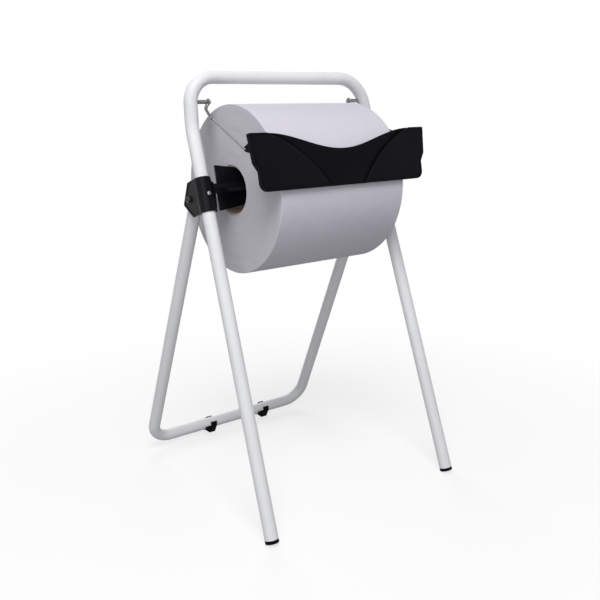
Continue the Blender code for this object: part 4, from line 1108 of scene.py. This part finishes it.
def painted_light_between_panels(place):
    """Masks of painted shade for the hollow middle, strongest along its edges, and of painted highlight
    for the panels' rims.
    """
    lean = add_node("ShaderNodeVectorMath", {0: place, 1: PLATE_UP}, operation="DOT_PRODUCT")["Value"]
    height = maths("SUBTRACT", lean, PLATE.translation.dot(PLATE_UP) + ARC_CENTRE.y)
    across = maths("SUBTRACT", maths("ABSOLUTE", separate(place)["X"]), ARC_CENTRE.x)
    past = maths("SUBTRACT", axis_distance(across, height), ARC)
    # Painted shade over the hollow middle, deepest at the foot of each step, and a painted highlight on
    # each step's rim.
    middle = remap(past, STEP_FROM, MIDDLE_TO, 0.0, MIDDLE_PAINTED_SHADE)
    foot = times(remap(past, STEP_FROM, FOOT_TO), remap(past, *FOOT_FADE, FOOT_PAINTED_SHADE, 0.0))
    rim = times(remap(past, *RIM_FADE, 0.0, RIM_PAINTED_HIGHLIGHT), remap(past, STEP_FROM, RIM_TO, 1.0, 0.0))
    return plus(middle, foot), rim


PLATE_PLASTIC = moulded("black_plate_plastic", (0.0068, 0.0064, 0.0092), (0.0050, 0.0047, 0.0068),
                        roughness=0.42, grain_scale=2200.0, depth=0.00008, gloss=0.03,
                        shade=painted_light_between_panels)

# %% [markdown]
# The plate is a softened slab. A tilted block scoops out its middle, a narrow ring cuts the border
# line, and the backs of the side panels are hollowed to an even wall, as in any moulding. A lug
# behind each side edge takes the wire.

# %% Tear-off plate
LUG_X, LUG_UP, LUG_REACH, LUG_HOLE, LUG_WIDTH = 0.1744, 0.027, 0.010, 0.0016, 0.003
LUG_RADIUS, ROOT_HALF, ROOT_RADIUS = 0.0042, 0.0075, 0.0015
GROOVE_OUTER, GROOVE_INNER, GROOVE_DEPTH = 0.0032, 0.0046, 0.0007
SCOOP_LOW, SCOOP_TOP = 0.0008, 0.0034
PLATE_EDGE, SCOOP_EDGE = 0.0010, 0.0005
PAST = 0.004
FRONT = THICK + PAST


def lug_centre(side):
    return PLATE @ Vector((side * LUG_X, LUG_UP, -LUG_REACH))


def layer(low, high):
    return PLATE @ Matrix.Translation(UP * (low + high) / 2)


def scoop():
    region = mirrored([(PANEL_START, BOTTOM - TOP)] + panel_edge(), -1, 1)
    slope = atan2(SCOOP_TOP - SCOOP_LOW, DIP - BOTTOM)
    tilt = (Matrix.Translation((0, BOTTOM, THICK - SCOOP_LOW)) @ Matrix.Rotation(-slope, 4, "X")
            @ Matrix.Translation((0, -BOTTOM, FRONT / 2)))
    return slab("scoop", region, FRONT, PLATE @ tilt)


def panel_hollow(side):
    """The space behind one side panel, within an even wall."""
    edge = panel_edge(SKIN * 2)
    area = [(edge[0][0], BOTTOM * 2), *edge, (TOP_HALF * 2, edge[-1][1]), (TOP_HALF * 2, BOTTOM * 2)]
    hollow = slab("hollow", [(side * a, b) for a, b in area], THICK - SKIN + PAST,
                  layer(-PAST, THICK - SKIN))
    return combine(hollow, [slab("wall", plate_outline(SKIN), 2 * FRONT, layer(0, 0))], "INTERSECT")


def lug(side):
    root = THICK - SKIN / 2
    outline = band_round([(-LUG_REACH, 0, LUG_RADIUS), (root, ROOT_HALF, ROOT_RADIUS),
                          (root, -ROOT_HALF, ROOT_RADIUS)])
    plane = plane_frame(PLATE @ Vector((side * LUG_X, LUG_UP, 0)), PLATE_OUT, PLATE_UP)
    return soften(slab("lug", outline, LUG_WIDTH, plane), FINE_EDGE, 2)


def tear_plate():
    plate = soften(slab("plate", plate_outline(), THICK, layer(0, THICK)), PLATE_EDGE, 4)
    groove = slab("groove", plate_outline(GROOVE_OUTER), PAST + GROOVE_DEPTH,
                  layer(THICK - GROOVE_DEPTH, FRONT), [plate_outline(GROOVE_INNER)])
    plate = cut(soften(cut(plate, scoop()), SCOOP_EDGE, 2, 30), groove)
    reach = RIGHT * LUG_WIDTH
    for side, _ in SIDES:
        plate = join(cut(plate, panel_hollow(side)), lug(side))
        plate = cut(plate, rod("hole", LUG_HOLE, lug_centre(side) - reach, lug_centre(side) + reach))
    return plate


settle(tear_plate(), "tear_plate", "tear_plate", PLATE_PLASTIC, "black_plastic")

# %% [markdown]
# A turned pin stands in each side of the frame's neck, with a groove that keeps the wire's eye in
# place. Its root is cut to the tube's curve. Pins and wires are settled together, in the next cell.

# %% Hanger pins
PIN_BELOW = 0.0386
PIN = HANDLE_LINE - UP * PIN_BELOW
PIN_RADIUS, GROOVE_RADIUS, HEAD, PIN_LENGTH = 0.0033, 0.0026, 0.0022, 0.0255
PIN_ROUND, PIN_CHAMFER = (0.0007, 0), (0.0002, 0.0003)
PIN_SIDE = 0.0008
STUD_RADIUS, STUD_HALF = 0.0022, 0.0045
WIRE = 0.0013


def bend_side(side, offset):
    """How far out the handle's bend is at the pins' height, offset from its centre line."""
    bend = HANDLE_BENDS[side]
    above = PIN.z - (HANDLE_LINE.z - bend)
    return HANDLE_HALF - bend + sqrt((bend + offset) ** 2 - above ** 2)


def pin_end(side):
    return bend_side(side, -TUBE) - PIN_LENGTH


def hanger_pin(side):
    length = bend_side(side, 0) - pin_end(side)
    neck = length - HEAD
    groove = neck - 2 * (WIRE + GAP)
    profile = [(0, length), *((PIN_RADIUS - a, length - b) for a, b in (PIN_ROUND, PIN_CHAMFER)),
               (PIN_RADIUS, length - PIN_SIDE), (PIN_RADIUS, neck), (GROOVE_RADIUS, neck),
               (GROOVE_RADIUS, groove), (PIN_RADIUS, groove), (PIN_RADIUS, 0), (0, 0)]
    inward = -RIGHT * side
    middle = PIN - inward * bend_side(side, 0)
    pin = cut(turned("pin", profile, axis_frame(middle, inward), 48),
              swept("root", front_path(), TUBE_ROOM, TUBE_STEPS))
    surface = PIN - inward * bend_side(side, -TUBE)
    half = inward * STUD_HALF
    return join(pin, rod("stud", STUD_RADIUS, surface - half, surface + half))


print("each pin stands", round(PIN_LENGTH * 1000, 1), "mm out of its tube")

# %% [markdown]
# Each arm is one bent wire. Its eye wraps the pin's groove, its short end lies along the run as far
# as the first bend and ends in a small curl, so the upper part looks twice as thick, and its far end
# turns in through the plate's lug. The centre line is worked out from pin and lug, so it meets both.

# %% Wire arms
EYE_FROM, EYE_TO = 185, -75
KINK, BEND = Vector((0, 0.0070, -0.0105)), Vector((0, -0.0105, -0.0265))
KINK_BEND, LOW_BEND, END_BEND, END_REACH = 0.003, 0.008, 0.0026, 0.006
CURL = ((0.0030, -0.0034, 0.0034), (0.0026, -0.0045, 0.0006), (0.0012, -0.0020, -0.0012))
TAIL_BENDS = (0, 0.0016, 0.0012, 0.0020, KINK_BEND, 0)
BESIDE = 2 * WIRE + 0.0001


def wire_arm(side):
    centre = PIN + RIGHT * side * (pin_end(side) + HEAD + GAP + WIRE)
    reach = GROOVE_RADIUS + GAP + WIRE
    eye = [centre + Vector((0, -reach * cos(t), reach * sin(t)))
           for t in arc_angles(EYE_FROM, EYE_TO, 8)]
    kink, bend = centre + KINK, centre + BEND
    beside = RIGHT * side * BESIDE
    curl = [bend + beside + Vector((side * a, b, c)) for a, b, c in CURL]
    tail = rounded_path(curl + [bend + beside, kink + beside, eye[0]], TAIL_BENDS, step=10)
    hole = lug_centre(side)
    corner = hole + RIGHT * side * (LUG_WIDTH / 2 + GAP + END_BEND)
    run = rounded_path([eye[-1], kink, bend, corner, hole - RIGHT * side * END_REACH],
                       (0, KINK_BEND, LOW_BEND, END_BEND, 0), step=8)
    return swept("wire", tail[:-1] + eye[:-1] + run, WIRE, 6)


settle_pairs((hanger_pin, "front_frame", "hanger_pin_", WIRE_STEEL, "zinc_steel"),
             (wire_arm, "tear_arms", "wire_arm_", WIRE_STEEL, "zinc_steel", WIRE_SMOOTH))

# %% [markdown]
# A pale floor catches the stand's soft shadow. Close to the stand it is lit like any surface; further
# out it fades to plain white, so that floor and background meet without a line. The camera sees that
# white, and bolts and wires mirror it. For the light that it sends back up, the floor is mid grey,
# or the roll's underside would be as bright as its top.

# %% Floor and background
FLOOR_LIT, FLOOR_SEEN = (0.34, 0.34, 0.34), (0.95, 0.95, 0.95)
FADE_FROM, FADE_TO, FADE_SHARE = 0.35, 1.0, 0.66
FLOOR_RADIUS, FLOOR_DROP = 6.0, 0.0002
SKY, SKY_STRENGTH = (0.97, 0.98, 1.0), 0.30


def background_rays(tree):
    """1 for the rays that show the background: straight, mirrored or refracted."""
    light = tree.nodes.new("ShaderNodeLightPath").outputs
    shown = maths("MAXIMUM", light["Is Camera Ray"], light["Is Glossy Ray"])
    return maths("MAXIMUM", shown, light["Is Transmission Ray"])


def mix_surfaces(factor, a, b, output):
    """Two shaders mixed by a factor make the tree's output."""
    mixed = add_node("ShaderNodeMixShader", {0: factor, 1: a[0], 2: b[0]})
    add_node(output, {"Surface": mixed[0]})


def floor_material():
    material = bpy.data.materials.new("studio_floor")
    material.use_nodes = True
    tree = material.node_tree
    tree.nodes.clear()
    place = tree.nodes.new("ShaderNodeTexCoord").outputs["Object"]
    distance = add_node("ShaderNodeVectorMath", {0: place}, operation="LENGTH")["Value"]
    fade = remap(distance, FADE_FROM, FADE_TO, FADE_SHARE, 1.0)
    seen = background_rays(tree)
    matt = add_node("ShaderNodeBsdfDiffuse",
                    {"Color": mix_colour(seen, FLOOR_LIT, FLOOR_SEEN)})
    mix_surfaces(times(fade, seen), matt, tree.nodes.new("ShaderNodeEmission").outputs,
                 "ShaderNodeOutputMaterial")
    return material


def add_floor():
    shape = bmesh.new()
    bmesh.ops.create_circle(shape, cap_ends=True, segments=96, radius=FLOOR_RADIUS)
    mesh = to_mesh("floor", shape)
    mesh.materials.append(floor_material())
    floor = put("floor", mesh, Matrix.Translation(-UP * FLOOR_DROP))
    return floor


def white_world():
    world = bpy.data.worlds.new("studio_world")
    bpy.context.scene.world = world
    world.use_nodes = True
    tree = world.node_tree
    tree.nodes.clear()
    lit = add_node("ShaderNodeBackground", {"Color": SKY, "Strength": SKY_STRENGTH}, tree)
    shown = add_node("ShaderNodeBackground", {"Color": (1, 1, 1), "Strength": 1.0}, tree)
    mix_surfaces(background_rays(tree), lit, shown, "ShaderNodeOutputWorld")


white_world()
print(add_floor().name, "is", 2 * FLOOR_RADIUS, "m across")

# %% [markdown]
# The key is one large soft lamp, high up in front and to the left: it lights the roll's top most and
# leaves its underside in shade. A low lamp on the same side lifts the front, a weak one the right
# side, and one behind keeps the back readable. Their power is set so that a face turned to the key
# renders about as light as its colour says.

# %% Lamps
HEART = (0, 0, 0.45)
LAMPS = (("key", (-0.85, -1.15, 2.25), (0, -0.05, 0.45), 1.3, 36),
         ("front_fill", (-1.9, -1.8, 0.8), HEART, 1.8, 17),
         ("side_fill", (2.3, -1.2, 1.1), HEART, 1.8, 2),
         ("back_fill", (0.9, 2.2, 1.6), HEART, 1.8, 26))


def soft_lamp(name, place, target, size, power):
    data = bpy.data.lights.new(name, "AREA")
    data.shape = "DISK"
    data.size = size
    data.energy = power
    turn = (Vector(target) - Vector(place)).to_track_quat("-Z", "Y").to_matrix().to_4x4()
    return put(name, data, Matrix.Translation(place) @ turn)


for lamp in LAMPS:
    print(soft_lamp(*lamp).name, "lamp")

bpy.context.scene.view_settings.view_transform = "Standard"

# %% Pieces dressed
print(len(made), "pieces dressed")
